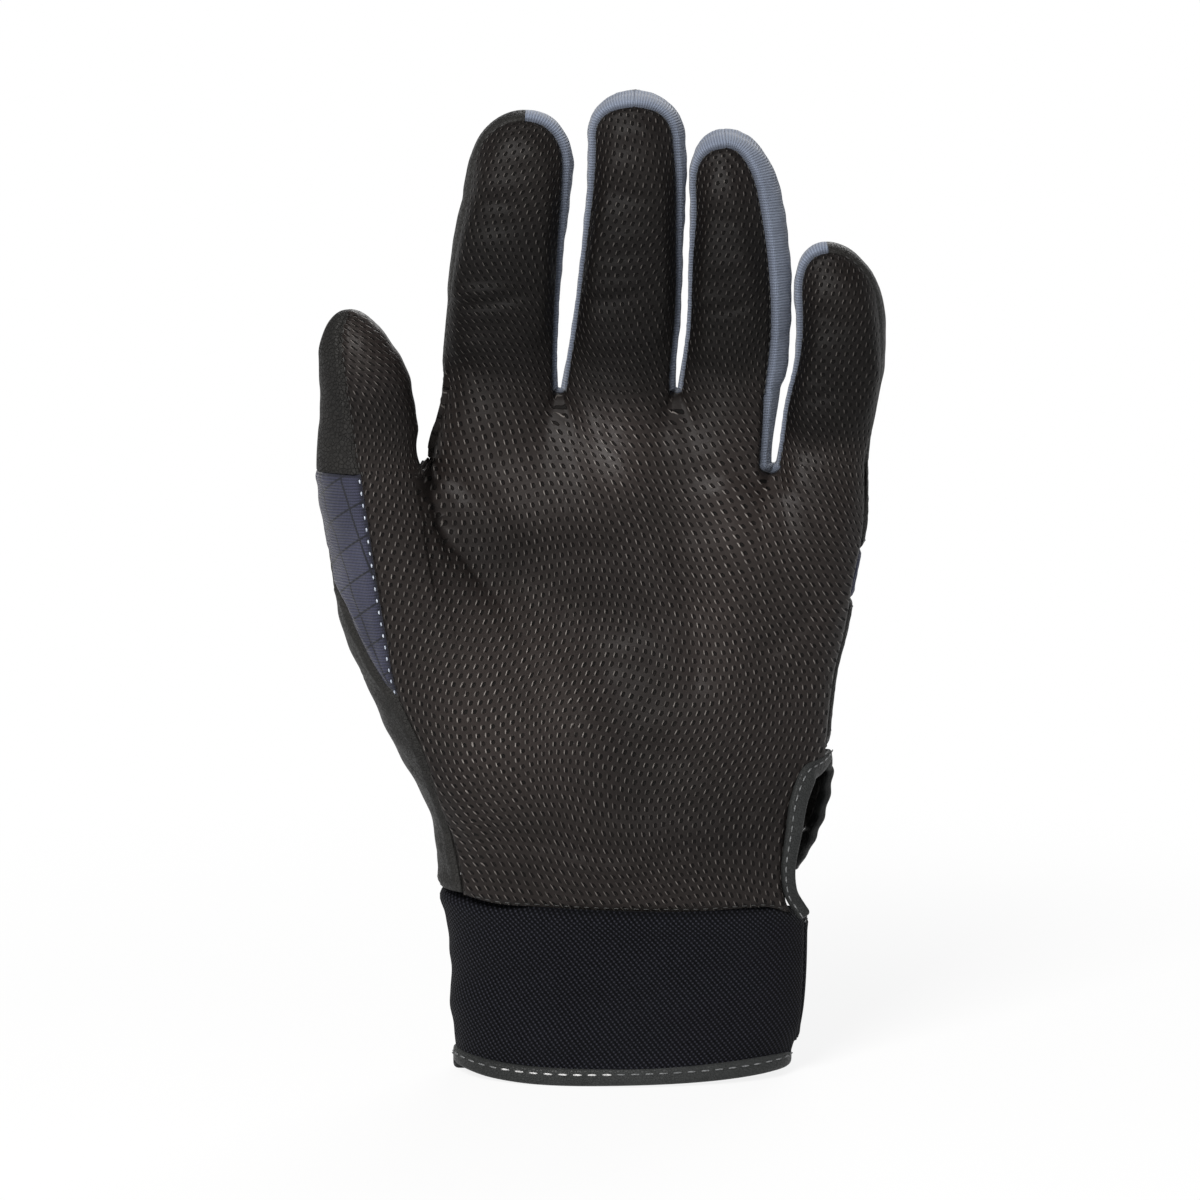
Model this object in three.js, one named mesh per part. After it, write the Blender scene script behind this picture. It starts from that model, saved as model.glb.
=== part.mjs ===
// A batting glove for the left hand, as a sewn assembly: palm leather, back panels, finger sides,
// wrist cuff and closing strap. Millimetres. It stands on its hem with the fingers along +Z, the palm
// towards -Y and the thumb towards -X. The origin is on the floor, under the middle of its outline.
import * as THREE from 'three';

// Driving sizes.
const CUFF_HEIGHT = 40; // floor to the seam between the cuff and the palm leather
const PALM_LENGTH = 115; // that seam to the webs between the fingers
const PALM_WIDTH = 97.4; // across the knuckles, index edge to little finger edge
const LEATHER = 1.1; // wall of the synthetic leather
const STRETCH_CLOTH = 0.8; // wall of the knitted finger sides and stretch panels
const LEAST_THICKNESS = 3.4; // of the hand where its two faces meet
const FOAM_CLOTH = 2.2; // wall of the foam-backed cuff and strap
const SEAM_GAP = 0.6; // between two panels that are sewn edge to edge
const SLANT_SEAM = 0.85; // where a seam runs aslant to the panel's own rows
const DIGIT_SEAM = 0.35; // a digit's panels draw back by this much at each seam
const WIDE_SEAM = 0.6; // where the palm leather meets the side panels, on each side of the seam
const HINGE_GAP = 0.6; // between the hand and the root of a digit
const BLEND = 5; // how softly the digits run into the palm

// The digits. Places across the hand are shares of the palm's width from the middle of the glove,
// at shares of the digit's own length above its root, and of the palm's length below it.
const DIGITS = {
  index: {
    rootShare: 1, length: 61.9, tipRound: 13, frontDepth: 9.6, backDepth: 9.2, curl: -2.5,
    centreShares: [[-0.4, -0.23], [-0.15, -0.238], [0, -0.2342], [0.25, -0.2238], [0.5, -0.2078], [0.75, -0.1825], [1, -0.17]],
    halfShares: [[-0.4, 0.17], [-0.15, 0.153], [0, 0.1354], [0.25, 0.1274], [0.5, 0.124], [0.75, 0.1182], [1, 0.115]],
    depthShares: [[-0.4, 0.9], [-0.15, 1.05], [0, 1], [0.5, 0.95], [1, 0.9]],
    left: { front: [0.6, 0.6, 0.6], back: [3, 3, 3] },
    right: { front: [1.3, 1.6, 3], back: [2.4, 2.4, 2.8] },
    tipInset: 1.8, backTipInset: 2.4,
  },
  middle: {
    rootShare: 1, length: 65.5, tipRound: 9.5, frontDepth: 9.8, backDepth: 9.4, curl: -3,
    centreShares: [[-0.4, 0.0436], [-0.15, 0.04], [0, 0.0402], [0.25, 0.0602], [0.5, 0.0725], [0.75, 0.0822], [1, 0.0758]],
    halfShares: [[-0.4, 0.1607], [-0.15, 0.1446], [0, 0.1297], [0.25, 0.1222], [0.5, 0.1155], [0.75, 0.1126], [1, 0.1108]],
    depthShares: [[-0.4, 0.9], [-0.15, 1.05], [0, 1], [0.5, 0.95], [1, 0.9]],
    left: { front: [2, 2, 2.4], back: [2.4, 2.4, 2.8] },
    right: { front: [2.4, 2.8, 3.4], back: [2.4, 2.4, 2.8] },
    tipInset: 2.4, backTipInset: 2.4,
  },
  ring: {
    rootShare: 1, length: 57, tipRound: 14, frontDepth: 9.4, backDepth: 9, curl: -3,
    centreShares: [[-0.4, 0.2961], [-0.15, 0.28], [0, 0.2934], [0.25, 0.3145], [0.5, 0.3155], [0.75, 0.3065], [1, 0.28]],
    halfShares: [[-0.4, 0.1423], [-0.15, 0.1105], [0, 0.1162], [0.25, 0.118], [0.5, 0.116], [0.75, 0.1055], [1, 0.102]],
    depthShares: [[-0.4, 0.9], [-0.15, 1.05], [0, 1], [0.5, 0.95], [1, 0.9]],
    left: { front: [1.6, 1.8, 2.2], back: [2.6, 2.6, 3] },
    right: { front: [3.8, 5.4, 6], back: [1.6, 1.6, 2] },
    tipInset: 3.4, backTipInset: 2,
  },
  little: {
    rootShare: 0.856, length: 49.2, tipRound: 13.5, frontDepth: 8.6, backDepth: 8.2, curl: -2.5,
    centreShares: [[-0.6, 0.415], [-0.4, 0.438], [-0.15, 0.49], [0, 0.5036], [0.25, 0.5243], [0.5, 0.543], [0.75, 0.537], [1, 0.5129]],
    halfShares: [[-0.6, 0.09], [-0.4, 0.1], [-0.15, 0.112], [0, 0.1022], [0.25, 0.1048], [0.5, 0.0998], [0.75, 0.0977], [1, 0.0954]],
    depthShares: [[-0.4, 1], [-0.15, 1.1], [0, 1], [0.5, 0.95], [1, 0.9]],
    left: { front: [1.2, 1.3, 2.2], back: [2.4, 2.4, 2.6] },
    right: { front: [0.6, 0.6, 0.6], back: [3, 3, 3] },
    tipInset: 2, backTipInset: 2,
  },
  thumb: {
    rootShare: 0.856, length: 35.6, tipRound: 17.9, frontDepth: 10, backDepth: 9.6, curl: -2,
    centreShares: [[-0.8, -0.24], [-0.7, -0.2434], [-0.6, -0.2755], [-0.4, -0.35], [-0.3, -0.396],
      [-0.15, -0.4787], [0, -0.5262], [0.25, -0.5285], [0.5, -0.5326], [0.75, -0.551], [1, -0.5693]],
    halfShares: [[-0.8, 0.1343], [-0.7, 0.1423], [-0.6, 0.1676], [-0.4, 0.2009], [-0.3, 0.1963],
      [-0.15, 0.1412], [0, 0.1204], [0.25, 0.1097], [0.5, 0.0987], [0.75, 0.0955], [1, 0.0918]],
    depthShares: [[-0.8, 1.5], [-0.6, 1.55], [-0.4, 1.5], [-0.3, 1.4], [-0.15, 1.2], [0, 1], [0.5, 0.9], [1, 0.85]],
    left: { front: [8.6, 7.4, 5.4], back: [3, 3, 3] },
    right: { front: [1.5, 1.5, 1.5], back: [2.2, 2.2, 2.4] },
    tipInset: 1, backTipInset: 2,
  },
};
const THUMB_FORWARD = 12; // how far the thumb's root stands in front of the fingers
const THUMB_FORWARD_SHARES = [[-0.8, 0.1], [-0.6, 0.33], [-0.4, 0.58], [-0.3, 0.7], [-0.15, 0.88], [0, 1], [1, 1.1]];

// The hand below the webs, at shares of the palm's length above the cuff seam.
const PALM_LEFT_SHARES = [[0, -0.3696], [0.1, -0.374], [0.2, -0.379], [0.3, -0.388], [0.5, -0.4], [0.7, -0.398], [0.85, -0.38], [1, -0.345]];
const PALM_RIGHT_SHARES = [[0, 0.4706], [0.1, 0.5], [0.2, 0.5234], [0.3, 0.526], [0.44, 0.5418], [0.53, 0.567],
  [0.63, 0.5854], [0.72, 0.606], [0.82, 0.6107], [1, 0.6]];
const PALM_DEPTH = 17; // half the thickness of the heel of the hand
const PALM_FRONT_SHARES = [[0, 1], [0.1, 0.98], [0.3, 0.9], [0.5, 0.8], [0.7, 0.72], [0.85, 0.68], [1, 0.65]];
const PALM_BACK_SHARES = [[0, 1], [0.1, 0.94], [0.3, 0.83], [0.5, 0.77], [0.7, 0.71], [0.85, 0.66], [1, 0.63]];
const WEB_LENGTH = 30; // over which the palm thins to nothing at the webs
const WEB_STEP_SHARES = [0.27, 0.37]; // across the palm, where the web steps down to the little finger
const DIGIT_POWER = 2.2; // how square a digit's section is: 2 is an ellipse
const PALM_POWER = 2.6;

// Seams, as shares of the palm's width and of its length above the cuff seam.
const CUFF_SEAM_SHARES = [[-0.37, 0.028], [-0.324, 0.025], [-0.232, 0.01], [-0.094, 0.002], [0.09, -0.004], [0.227, -0.005], [0.434, 0.002]];
const CUFF_BACK_SEAM_SHARES = [[-0.37, 0.028], [-0.25, 0.025], [0, 0.02], [0.3, 0.02], [0.434, 0.02]];
const THUMB_SEAM_SHARES = [[0.041, -0.3352], [0.1925, -0.3926], [0.348, -0.4385], [0.42, -0.4637], [0.5425, -0.489],
  [0.64, -0.5074], [0.756, -0.5257], [0.856, -0.542]];
const THUMB_BACK_SEAM_SHARES = [[0.03, -0.24], [0.3, -0.3], [0.55, -0.36], [0.66, -0.39], [0.856, -0.43]];
// The stretch panel's lower edge, from -1 at the back seam over 0 at the outline to 1 at the palm seam.
const STRETCH_EDGE_SHARES = [[-1, 0.76], [0, 0.688], [0.33, 0.581], [0.67, 0.5036], [1, 0.42]];
const SLIT_SHARES = [[0, 0.4385], [0.0214, 0.427], [0.0758, 0.4201], [0.13, 0.427], [0.2255, 0.4523], [0.282, 0.505]];
const SLIT_BACK_SHARES = [[0, 0.4], [0.06, 0.41], [0.13, 0.45], [0.17, 0.49], [0.2, 0.512], [0.282, 0.518]];
const CROTCH_LINE_SHARES = [[0.02, -0.2], [0.4, -0.3], [0.7, -0.37], [0.856, -0.393]];
const LITTLE_LINE_SHARES = [[0.02, 0.2], [0.4, 0.3], [0.7, 0.37], [0.856, 0.392]];
const BACK_BAND_SHARES = [0.68, 0.8]; // the elastic band across the knuckles, within the back's own height

// Cuff, hem, strap and slit.
const HEM_HEIGHT = 4.2;
const HEM_WALL = 0.9; // how far the folded hem stands off the cuff
const CUFF_LEFT_SHARES = [[0, -0.33], [0.15, -0.338], [0.6, -0.344], [0.9, -0.356], [1, -0.3696]];
const CUFF_RIGHT_SHARES = [[0, 0.424], [0.1, 0.442], [0.35, 0.462], [0.75, 0.469], [1, 0.4646]];
const CUFF_DEPTH = 18.5;
const CUFF_POWER = 2.3;
const HEM_RISE = 1.8; // how far the hem lifts off the floor at the two ends of the palm side
const HEM_RISE_SHARES = [[-0.33, 1], [-0.26, 0.4], [-0.14, 0], [0.05, 0.06], [0.25, 0.35], [0.43, 0.8]];
const CUFF_TURN_SHARES = [-0.8, 0.992]; // where the cuff ends round the wrist: 0 thumb side, 1 and -1 little finger side
const STRAP_TURN_SHARES = [1, 1.64];
const STRAP_FLOOR = 5.4;
const STRAP_HEIGHT = 29;
const STRAP_STAND_SHARES = [[0, 0], [0.12, 0.4], [0.3, 1], [1, 1]]; // how soon the strap climbs over the layers below it
const LOOP_TURN_SHARES = [1.27, 1.72];
const HOOK_TURN_SHARES = [1.36, 1.6];
const PATCH_WALL = 1; // each half of the hook and loop fastener
const PATCH_INSET = 3;
const LAYER_GAP = 0.45; // between layers that lie on each other
const BINDING_WIDTH = 3.7; // the folded strips that bind the slit
const BINDING_THICKNESS = 2.2;
const LABEL_TURN_SHARES = [1.4, 1.62];
const LABEL_SPAN_SHARES = [0.55, 0.85];
const LABEL_WALL = 0.5;
const TAB_TURN_SHARES = [1.6445, 1.7];
const CUFF_TOP_SHARES = [...CUFF_SEAM_SHARES.slice(0, -1), [0.41, 0], [0.45, -0.012], [0.475, -0.03]];
const SIDE_BOTTOM_SHARES = [[-1, 0.026], [0, 0.03], [1, 0.028]];
const SLIT_BINDING_SHARES = { front: [0.015, 0.255], back: [0.035, 0.225] };

// How finely the surfaces are cut.
const FINGER_SPLIT_SHARES = [0.33, 0.67];
const THUMB_BLOCK_SHARES = [0, 0.3, 0.65, 1];
const FINGER_BLOCK_SHARES = [0, 0.12, 0.36, 0.64, 0.88, 1];
const LITTLE_BLOCK_SHARES = [0, 0.2, 0.5, 0.78, 0.93, 1];
const PALM_ROW_SHARES = [0, 0.12, 0.26, 0.42, 0.58, 0.72, 0.86, 1];
const STUMP_ROW_SHARES = [0.05, 0.5, 1];
const BACK_ROW_SHARES = [0, 0.18, 0.38, 0.6, 0.82, 1];
const BASE_ROWS = 2;
const THUMB_COLUMN_SHARES = [-1, -0.7, -0.4, -0.15, 0, 0.15, 0.4, 0.7, 1];
const THUMB_SIDE_ROWS = 8;
const THUMB_STRETCH_ROWS = 4;
const BINDING_ROWS = 5;
const BINDING_COLUMN_SHARES = { front: [0.03, 0.5, 1], back: [0.1, 0.55, 1] };
const BINDING_STEP_SHARE = 0.004;
const CUFF_COLUMNS = 26;
const CUFF_ROW_SHARES = [0, 0.35, 0.7, 1];
const PATCH_COLUMNS = 8;
const STRAP_COLUMNS = 12;
const DIGIT_ROW_SHARES = [0, 0.12, 0.24, 0.36, 0.48, 0.6, 0.7, 0.8, 0.9, 1];
const SHAFT_SHARE = 0.6; // of a digit's rows, before the rounded tip
const TIP_STOP_SHARE = 0.975; // of the quarter turn over the tip
const TIP_MIDDLE_SHARE = 0.5;
const TRIM_LIMIT_SHARE = 0.7;
const SOFT_FLOOR_SHARE = 0.1;
const NUDGE_SHARE = 0.015; // between places that a normal is worked out from
const NUDGE_HEIGHT = 1;

const MATERIALS = {
  palmLeather: { color: 0x2b2725, roughness: 0.62 },
  smoothLeather: { color: 0x1f1f1e, roughness: 0.5 },
  stretchNavy: { color: 0x3c3f52, roughness: 0.8 },
  sideCloth: { color: 0x6d7787, roughness: 0.7 },
  foamCloth: { color: 0x0c0d12, roughness: 0.95 },
  binding: { color: 0x2a2b2b, roughness: 0.5 },
  fastener: { color: 0x111113, roughness: 1 },
};
for (const [name, look] of Object.entries(MATERIALS)) {
  MATERIALS[name] = new THREE.MeshStandardMaterial({ ...look, metalness: 0 });
}

// Value at t of a smooth curve through [t, value] stations.
function along(stations, t) {
  const last = stations.length - 1;
  if (t <= stations[0][0]) return stations[0][1];
  if (t >= stations[last][0]) return stations[last][1];
  let i = 0;
  while (stations[i + 1][0] < t) i++;
  const slope = (k) => {
    const [ta, va] = stations[Math.max(k - 1, 0)];
    const [tb, vb] = stations[Math.min(k + 1, last)];
    return (vb - va) / (tb - ta);
  };
  const [t0, v0] = stations[i];
  const [t1, v1] = stations[i + 1];
  const span = t1 - t0;
  const s = (t - t0) / span;
  const rest = 1 - s;
  return v0 * (1 + 2 * s) * rest * rest + slope(i) * span * s * rest * rest
    + v1 * s * s * (3 - 2 * s) - slope(i + 1) * span * s * s * rest;
}

const half = (v) => v / 2;
const seam = half(SEAM_GAP);
const steps = (count) => Array.from({ length: count + 1 }, (_, i) => i / count);
const lerp = (a, b, t) => a + (b - a) * t;
const clamp = (v, lo, hi) => Math.min(Math.max(v, lo), hi);
const palmZ = (share) => CUFF_HEIGHT + PALM_LENGTH * share;
const palmShare = (z) => (z - CUFF_HEIGHT) / PALM_LENGTH;
const acrossX = (share) => PALM_WIDTH * share;

for (const digit of Object.values(DIGITS)) {
  digit.root = palmZ(digit.rootShare);
  digit.tip = digit.root + digit.length;
  digit.roundFrom = digit.tip - digit.tipRound;
}

const WEB = palmZ(1);
const LOW_ROOT = palmZ(DIGITS.thumb.rootShare);

// Section of a digit at height z: its middle, half width and depths, as a bulge on the hand's plane.
function digitSection(digit, z) {
  const above = z - digit.root;
  const t = above >= 0 ? above / digit.length : above / PALM_LENGTH;
  const depth = along(digit.depthShares, t);
  const forward = digit === DIGITS.thumb ? -THUMB_FORWARD * along(THUMB_FORWARD_SHARES, t) : 0;
  return {
    centre: acrossX(along(digit.centreShares, t)),
    half: acrossX(along(digit.halfShares, t)),
    front: digit.frontDepth * depth,
    back: digit.backDepth * depth,
    middle: forward + digit.curl * clamp(t, 0, 1) ** 2,
    power: DIGIT_POWER,
  };
}

// Height of the webs between the fingers, which steps down beside the little finger.
function webHeight(x) {
  const [from, to] = WEB_STEP_SHARES.map(acrossX);
  const s = clamp((x - from) / (to - from), 0, 1);
  return lerp(palmZ(1), DIGITS.little.root, s * s * (3 - 2 * s));
}

// Section of the hand itself at height z, thinned towards the web above x.
function palmSection(x, z) {
  const p = clamp(palmShare(z), 0, 1);
  const left = acrossX(along(PALM_LEFT_SHARES, p));
  const right = acrossX(along(PALM_RIGHT_SHARES, p));
  const below = clamp((webHeight(x) - z) / WEB_LENGTH, 0, 1);
  const thin = PALM_DEPTH * Math.sqrt(1 - (1 - below) ** 2);
  return {
    centre: (left + right) / 2,
    half: (right - left) / 2,
    front: along(PALM_FRONT_SHARES, p) * thin,
    back: along(PALM_BACK_SHARES, p) * thin,
    middle: 0,
    power: PALM_POWER,
  };
}

// How far a section's surface stands off its own plane at x, below zero outside its edges.
function bulge(section, side, x) {
  const u = Math.abs(x - section.centre) / Math.max(section.half, Number.EPSILON);
  const q = 1 - u ** section.power;
  return section[side] * Math.sign(q) * Math.abs(q) ** (1 / section.power);
}

// How far the hand's outer surface at (x, z) reaches towards its palm or back side.
function reachOf(side, x, z) {
  const sign = side === 'front' ? -1 : 1;
  const digits = Object.values(DIGITS).filter((digit) => digit !== DIGITS.thumb || z <= LOW_ROOT);
  const softness = BLEND * clamp((webHeight(x) - z) / WEB_LENGTH, SOFT_FLOOR_SHARE, 1);
  return [palmSection(x, z), ...digits.map((digit) => digitSection(digit, z))]
    .map((section) => sign * section.middle + bulge(section, side, x))
    .reduce((reach, value) => {
      const close = Math.max(softness - Math.abs(reach - value), 0);
      return Math.max(reach, value) + close ** 2 / (4 * softness);
    });
}

// y of the hand's outer surface, never thinner than its two walls.
function surface(side, x, z) {
  const front = reachOf('front', x, z);
  const back = reachOf('back', x, z);
  const missing = half(Math.max(LEAST_THICKNESS - front - back, 0));
  return side === 'front' ? -front - missing : back + missing;
}

// A place on a closed loop round a tube: turn 0 to 1 runs over the palm side from left to right,
// and 1 to 2 (or -1 to 0) over the back from right to left.
const halfTurn = (turn) => {
  const t = ((turn % 2) + 2) % 2;
  return t <= 1 ? ['front', (1 - Math.cos(Math.PI * t)) / 2] : ['back', (1 + Math.cos(Math.PI * (t - 1))) / 2];
};
const turnOf = (side, share) => {
  const t = Math.acos(clamp(1 - 2 * share, -1, 1)) / Math.PI;
  return side === 'front' ? t : 2 - t;
};

// The hand's own outline, which steps in above the roots of the thumb and the little finger.
function handEdges(z) {
  const palm = palmSection(0, z);
  const low = z <= LOW_ROOT;
  const left = digitSection(low ? DIGITS.thumb : DIGITS.index, z);
  const right = digitSection(low ? DIGITS.little : DIGITS.ring, z);
  return [
    Math.min(left.centre - left.half, low ? palm.centre - palm.half : left.centre),
    Math.max(right.centre + right.half, low ? palm.centre + palm.half : right.centre),
  ];
}

function handPoint(z, turn) {
  const [side, share] = halfTurn(turn);
  const [left, right] = handEdges(z);
  const x = lerp(left, right, share);
  return new THREE.Vector3(x, surface(side, x, z), z);
}

function cuffPoint(z, turn, stand = 0) {
  const [side, share] = halfTurn(turn);
  const t = clamp(z / CUFF_HEIGHT, 0, 1);
  const left = acrossX(along(CUFF_LEFT_SHARES, t)) - stand;
  const right = acrossX(along(CUFF_RIGHT_SHARES, t)) + stand;
  const depth = CUFF_DEPTH + stand;
  const section = { centre: half(left + right), half: half(right - left), front: depth, back: depth, power: CUFF_POWER };
  const x = lerp(left, right, share);
  return new THREE.Vector3(x, (side === 'front' ? -1 : 1) * bulge(section, side, x), z);
}

// A place on a tube's skin with its outward normal, from the places just beside it.
function skinOf(tube, z, turn, low = -Infinity, high = Infinity) {
  const round = tube(z, turn + NUDGE_SHARE).sub(tube(z, turn - NUDGE_SHARE));
  const up = tube(Math.min(z + NUDGE_HEIGHT, high), turn).sub(tube(Math.max(z - NUDGE_HEIGHT, low), turn));
  const normal = round.cross(up);
  if (z === high || z === low) normal.setZ(0);
  return { point: tube(z, turn), normal: normal.normalize() };
}

const handSkin = (z, turn) => (z <= LOW_ROOT ? skinOf(handPoint, z, turn, -Infinity, LOW_ROOT)
  : skinOf(handPoint, z, turn, LOW_ROOT + Number.EPSILON * LOW_ROOT, WEB));

// A closed solid between a patch of skin and the same patch set inwards by the wall.
// skin(u, v) is the surface; us and vs are the columns and rows; solid(i, j) says which cells exist.
// trims are how far the first column, last column, first row and last row draw back for the seams.
function sheet(name, material, skin, us, vs, options) {
  const { wall, raise = 0, solid = () => true, trims = [seam, seam, seam, seam] } = options;
  const rows = vs.length;
  const columns = us.length;
  const places = vs.map((v) => us.map((u) => skin(u, v)));
  const i0 = Math.floor(half(rows - 1));
  const j0 = Math.floor(half(columns - 1));
  const { point, normal } = places[i0][j0];
  const over = places[i0][j0 + 1].point.clone().sub(point);
  const up = places[i0 + 1][j0].point.clone().sub(point);
  const turned = over.cross(up).dot(normal) < 0;
  const layers = [raise, raise - wall].map((stand) => places.map((row) => row.map((place) => place.point.clone()
    .addScaledVector(place.normal, stand))));
  const exists = (i, j) => i >= 0 && j >= 0 && i < rows - 1 && j < columns - 1 && solid(i, j);
  const used = (i, j) => exists(i, j) || exists(i - 1, j) || exists(i, j - 1) || exists(i - 1, j - 1);
  for (const layer of layers) {
    const before = layer.map((row) => row.map((p) => p.clone()));
    const pull = (i, j, k, l, trim) => {
      const far = before[i][j].distanceTo(before[k][l]);
      if (far > 0) layer[i][j].addScaledVector(before[k][l].clone().sub(before[i][j]), Math.min(trim / far, TRIM_LIMIT_SHARE));
    };
    for (let i = 0; i < rows; i++) {
      for (let j = 0; j < columns; j++) {
        if (!used(i, j)) continue;
        if (!exists(i, j - 1) && !exists(i - 1, j - 1)) pull(i, j, i, j + 1, trims[0]);
        if (!exists(i, j) && !exists(i - 1, j)) pull(i, j, i, j - 1, trims[1]);
        if (!exists(i - 1, j) && !exists(i - 1, j - 1)) pull(i, j, i + 1, j, trims[2]);
        if (!exists(i, j) && !exists(i, j - 1)) pull(i, j, i - 1, j, trims[3]);
      }
    }
  }
  const positions = [];
  const numbers = new Map();
  const corner = (i, j, layer) => {
    const key = (layer * rows + i) * columns + j;
    if (!numbers.has(key)) {
      numbers.set(key, numbers.size);
      positions.push(...layers[layer][i][j].toArray());
    }
    return numbers.get(key);
  };
  const index = [];
  const quad = (a, b, c, d) => index.push(...(turned ? [a, c, b, a, d, c] : [a, b, c, a, c, d]));
  for (let i = 0; i < rows - 1; i++) {
    for (let j = 0; j < columns - 1; j++) {
      if (!exists(i, j)) continue;
      quad(corner(i, j, 0), corner(i, j + 1, 0), corner(i + 1, j + 1, 0), corner(i + 1, j, 0));
      quad(corner(i, j, 1), corner(i + 1, j, 1), corner(i + 1, j + 1, 1), corner(i, j + 1, 1));
      if (!exists(i, j - 1)) quad(corner(i, j, 0), corner(i + 1, j, 0), corner(i + 1, j, 1), corner(i, j, 1));
      if (!exists(i, j + 1)) quad(corner(i, j + 1, 1), corner(i + 1, j + 1, 1), corner(i + 1, j + 1, 0), corner(i, j + 1, 0));
      if (!exists(i - 1, j)) quad(corner(i, j, 1), corner(i, j + 1, 1), corner(i, j + 1, 0), corner(i, j, 0));
      if (!exists(i + 1, j)) quad(corner(i + 1, j, 0), corner(i + 1, j + 1, 0), corner(i + 1, j + 1, 1), corner(i + 1, j, 1));
    }
  }
  const geometry = new THREE.BufferGeometry();
  geometry.setAttribute('position', new THREE.Float32BufferAttribute(positions, 3));
  geometry.setIndex(index);
  geometry.computeVertexNormals();
  const mesh = new THREE.Mesh(geometry, material);
  mesh.name = name;
  return mesh;
}

// Digits: every row of a digit is a closed loop of four stretches, which the seams part:
// 0 to 1 the palm side, 1 to 2 the right side, 2 to 3 the back and 3 to 4 the left side.
function outlinePoint(digit, row, side, inset, tipInset) {
  const [root, middle, tip] = inset;
  const sign = side === 'left' ? -1 : 1;
  const shaft = clamp(row / SHAFT_SHARE, 0, 1);
  const turn = clamp((row - SHAFT_SHARE) / (1 - SHAFT_SHARE), 0, 1) * TIP_STOP_SHARE * half(Math.PI);
  const from = digit.root + half(HINGE_GAP);
  const round = digit.tipRound - tipInset * clamp((row - SHAFT_SHARE) / (1 - SHAFT_SHARE), 0, 1);
  const z = row > SHAFT_SHARE ? digit.roundFrom + round * Math.sin(turn) : lerp(from, digit.roundFrom, shaft);
  const section = digitSection(digit, z);
  const given = along([[0, root], [TIP_MIDDLE_SHARE, middle], [1, tip]], shaft);
  return [section.centre + sign * (section.half - given) * Math.cos(turn), z];
}

// The digit's skin over (x, z), closing towards the tip.
function digitSkin(digit, side, [x, z]) {
  const section = digitSection(digit, z);
  const into = clamp((z - digit.roundFrom) / digit.tipRound, 0, 1);
  const u = clamp((x - section.centre) / section.half, -1, 1);
  const w = Math.max(1 - Math.abs(u) ** DIGIT_POWER - into ** DIGIT_POWER, 0) ** (1 / DIGIT_POWER);
  const sign = side === 'front' ? -1 : 1;
  const slope = DIGIT_POWER - 1;
  return {
    point: new THREE.Vector3(x, section.middle + sign * section[side] * w, z),
    normal: new THREE.Vector3(
      Math.sign(u) * Math.abs(u) ** slope / section.half,
      sign * w ** slope / section[side],
      into ** slope / digit.tipRound,
    ).normalize(),
  };
}

function digitPlace(digit, row, turn) {
  const seam = (side, face) => outlinePoint(
    digit, row, side, digit[side][face], face === 'front' ? digit.tipInset : digit.backTipInset);
  const edge = (side) => outlinePoint(digit, row, side, [0, 0, 0], 0);
  const mix = (p, q, t) => [lerp(p[0], q[0], t), lerp(p[1], q[1], t)];
  const a = ((turn % 4) + 4) % 4;
  const stretch = Math.min(Math.floor(a), 3);
  const t = a - stretch;
  const eased = half(1 - Math.cos(Math.PI * t));
  if (stretch === 0) return digitSkin(digit, 'front', mix(seam('left', 'front'), seam('right', 'front'), eased));
  if (stretch === 2) return digitSkin(digit, 'back', mix(seam('right', 'back'), seam('left', 'back'), eased));
  const side = stretch === 1 ? 'right' : 'left';
  const q = stretch === 1 ? 2 * t - 1 : 1 - 2 * t;
  const face = q < 0 ? 'front' : 'back';
  return digitSkin(digit, face, mix(edge(side), seam(side, face), q * q));
}

function digitPanel(name, material, digit, from, to, columns, wall) {
  const turns = steps(columns).map((s) => lerp(from, to, s));
  return sheet(name, material, (turn, row) => digitPlace(digit, row, turn), turns, DIGIT_ROW_SHARES, {
    wall, trims: [DIGIT_SEAM, DIGIT_SEAM, 0, DIGIT_SEAM],
  });
}

// The hand's rows: v from 0 to 1 climbs from the cuff seam to the low roots, and 1 to 2 on to the webs.
const seamZ = (side, x) => palmZ(along(side === 'front' ? CUFF_SEAM_SHARES : CUFF_BACK_SEAM_SHARES, x / PALM_WIDTH));

function handHeight(side, line, v, foot = 0) {
  if (v > 1) return lerp(LOW_ROOT, WEB, v - 1);
  let z = lerp(palmZ(0), LOW_ROOT, v);
  for (let k = 0; k < 3; k++) z = lerp(seamZ(side, line(z)) + foot, LOW_ROOT, v);
  return z;
}

// A hand panel between lines[0] and the last of lines, each a place across the hand at height z,
// with the columns between two neighbouring lines at the given shares.
function handPanel(name, material, side, lines, blocks, vs, options) {
  const place = (u, v) => {
    const k = clamp(Math.floor(u), 0, lines.length - 2);
    const x = (z) => lerp(lines[k](z), lines[k + 1](z), u - k);
    const z = Math.min(handHeight(side, x, v), v > 1 ? WEB : LOW_ROOT);
    return [x(z), z];
  };
  const turnAt = (x, z) => {
    const [left, right] = handEdges(z);
    return turnOf(side, (x - left) / (right - left));
  };
  const us = [0];
  blocks.forEach((shares, k) => shares.slice(1).forEach((share) => us.push(k + share)));
  const skin = (u, v) => {
    const [x, z] = place(u, v);
    return handSkin(z, turnAt(x, z));
  };
  return sheet(name, material, skin, us, vs, options);
}

const { palmLeather, smoothLeather, stretchNavy, sideCloth, foamCloth, binding, fastener } = MATERIALS;

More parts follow.
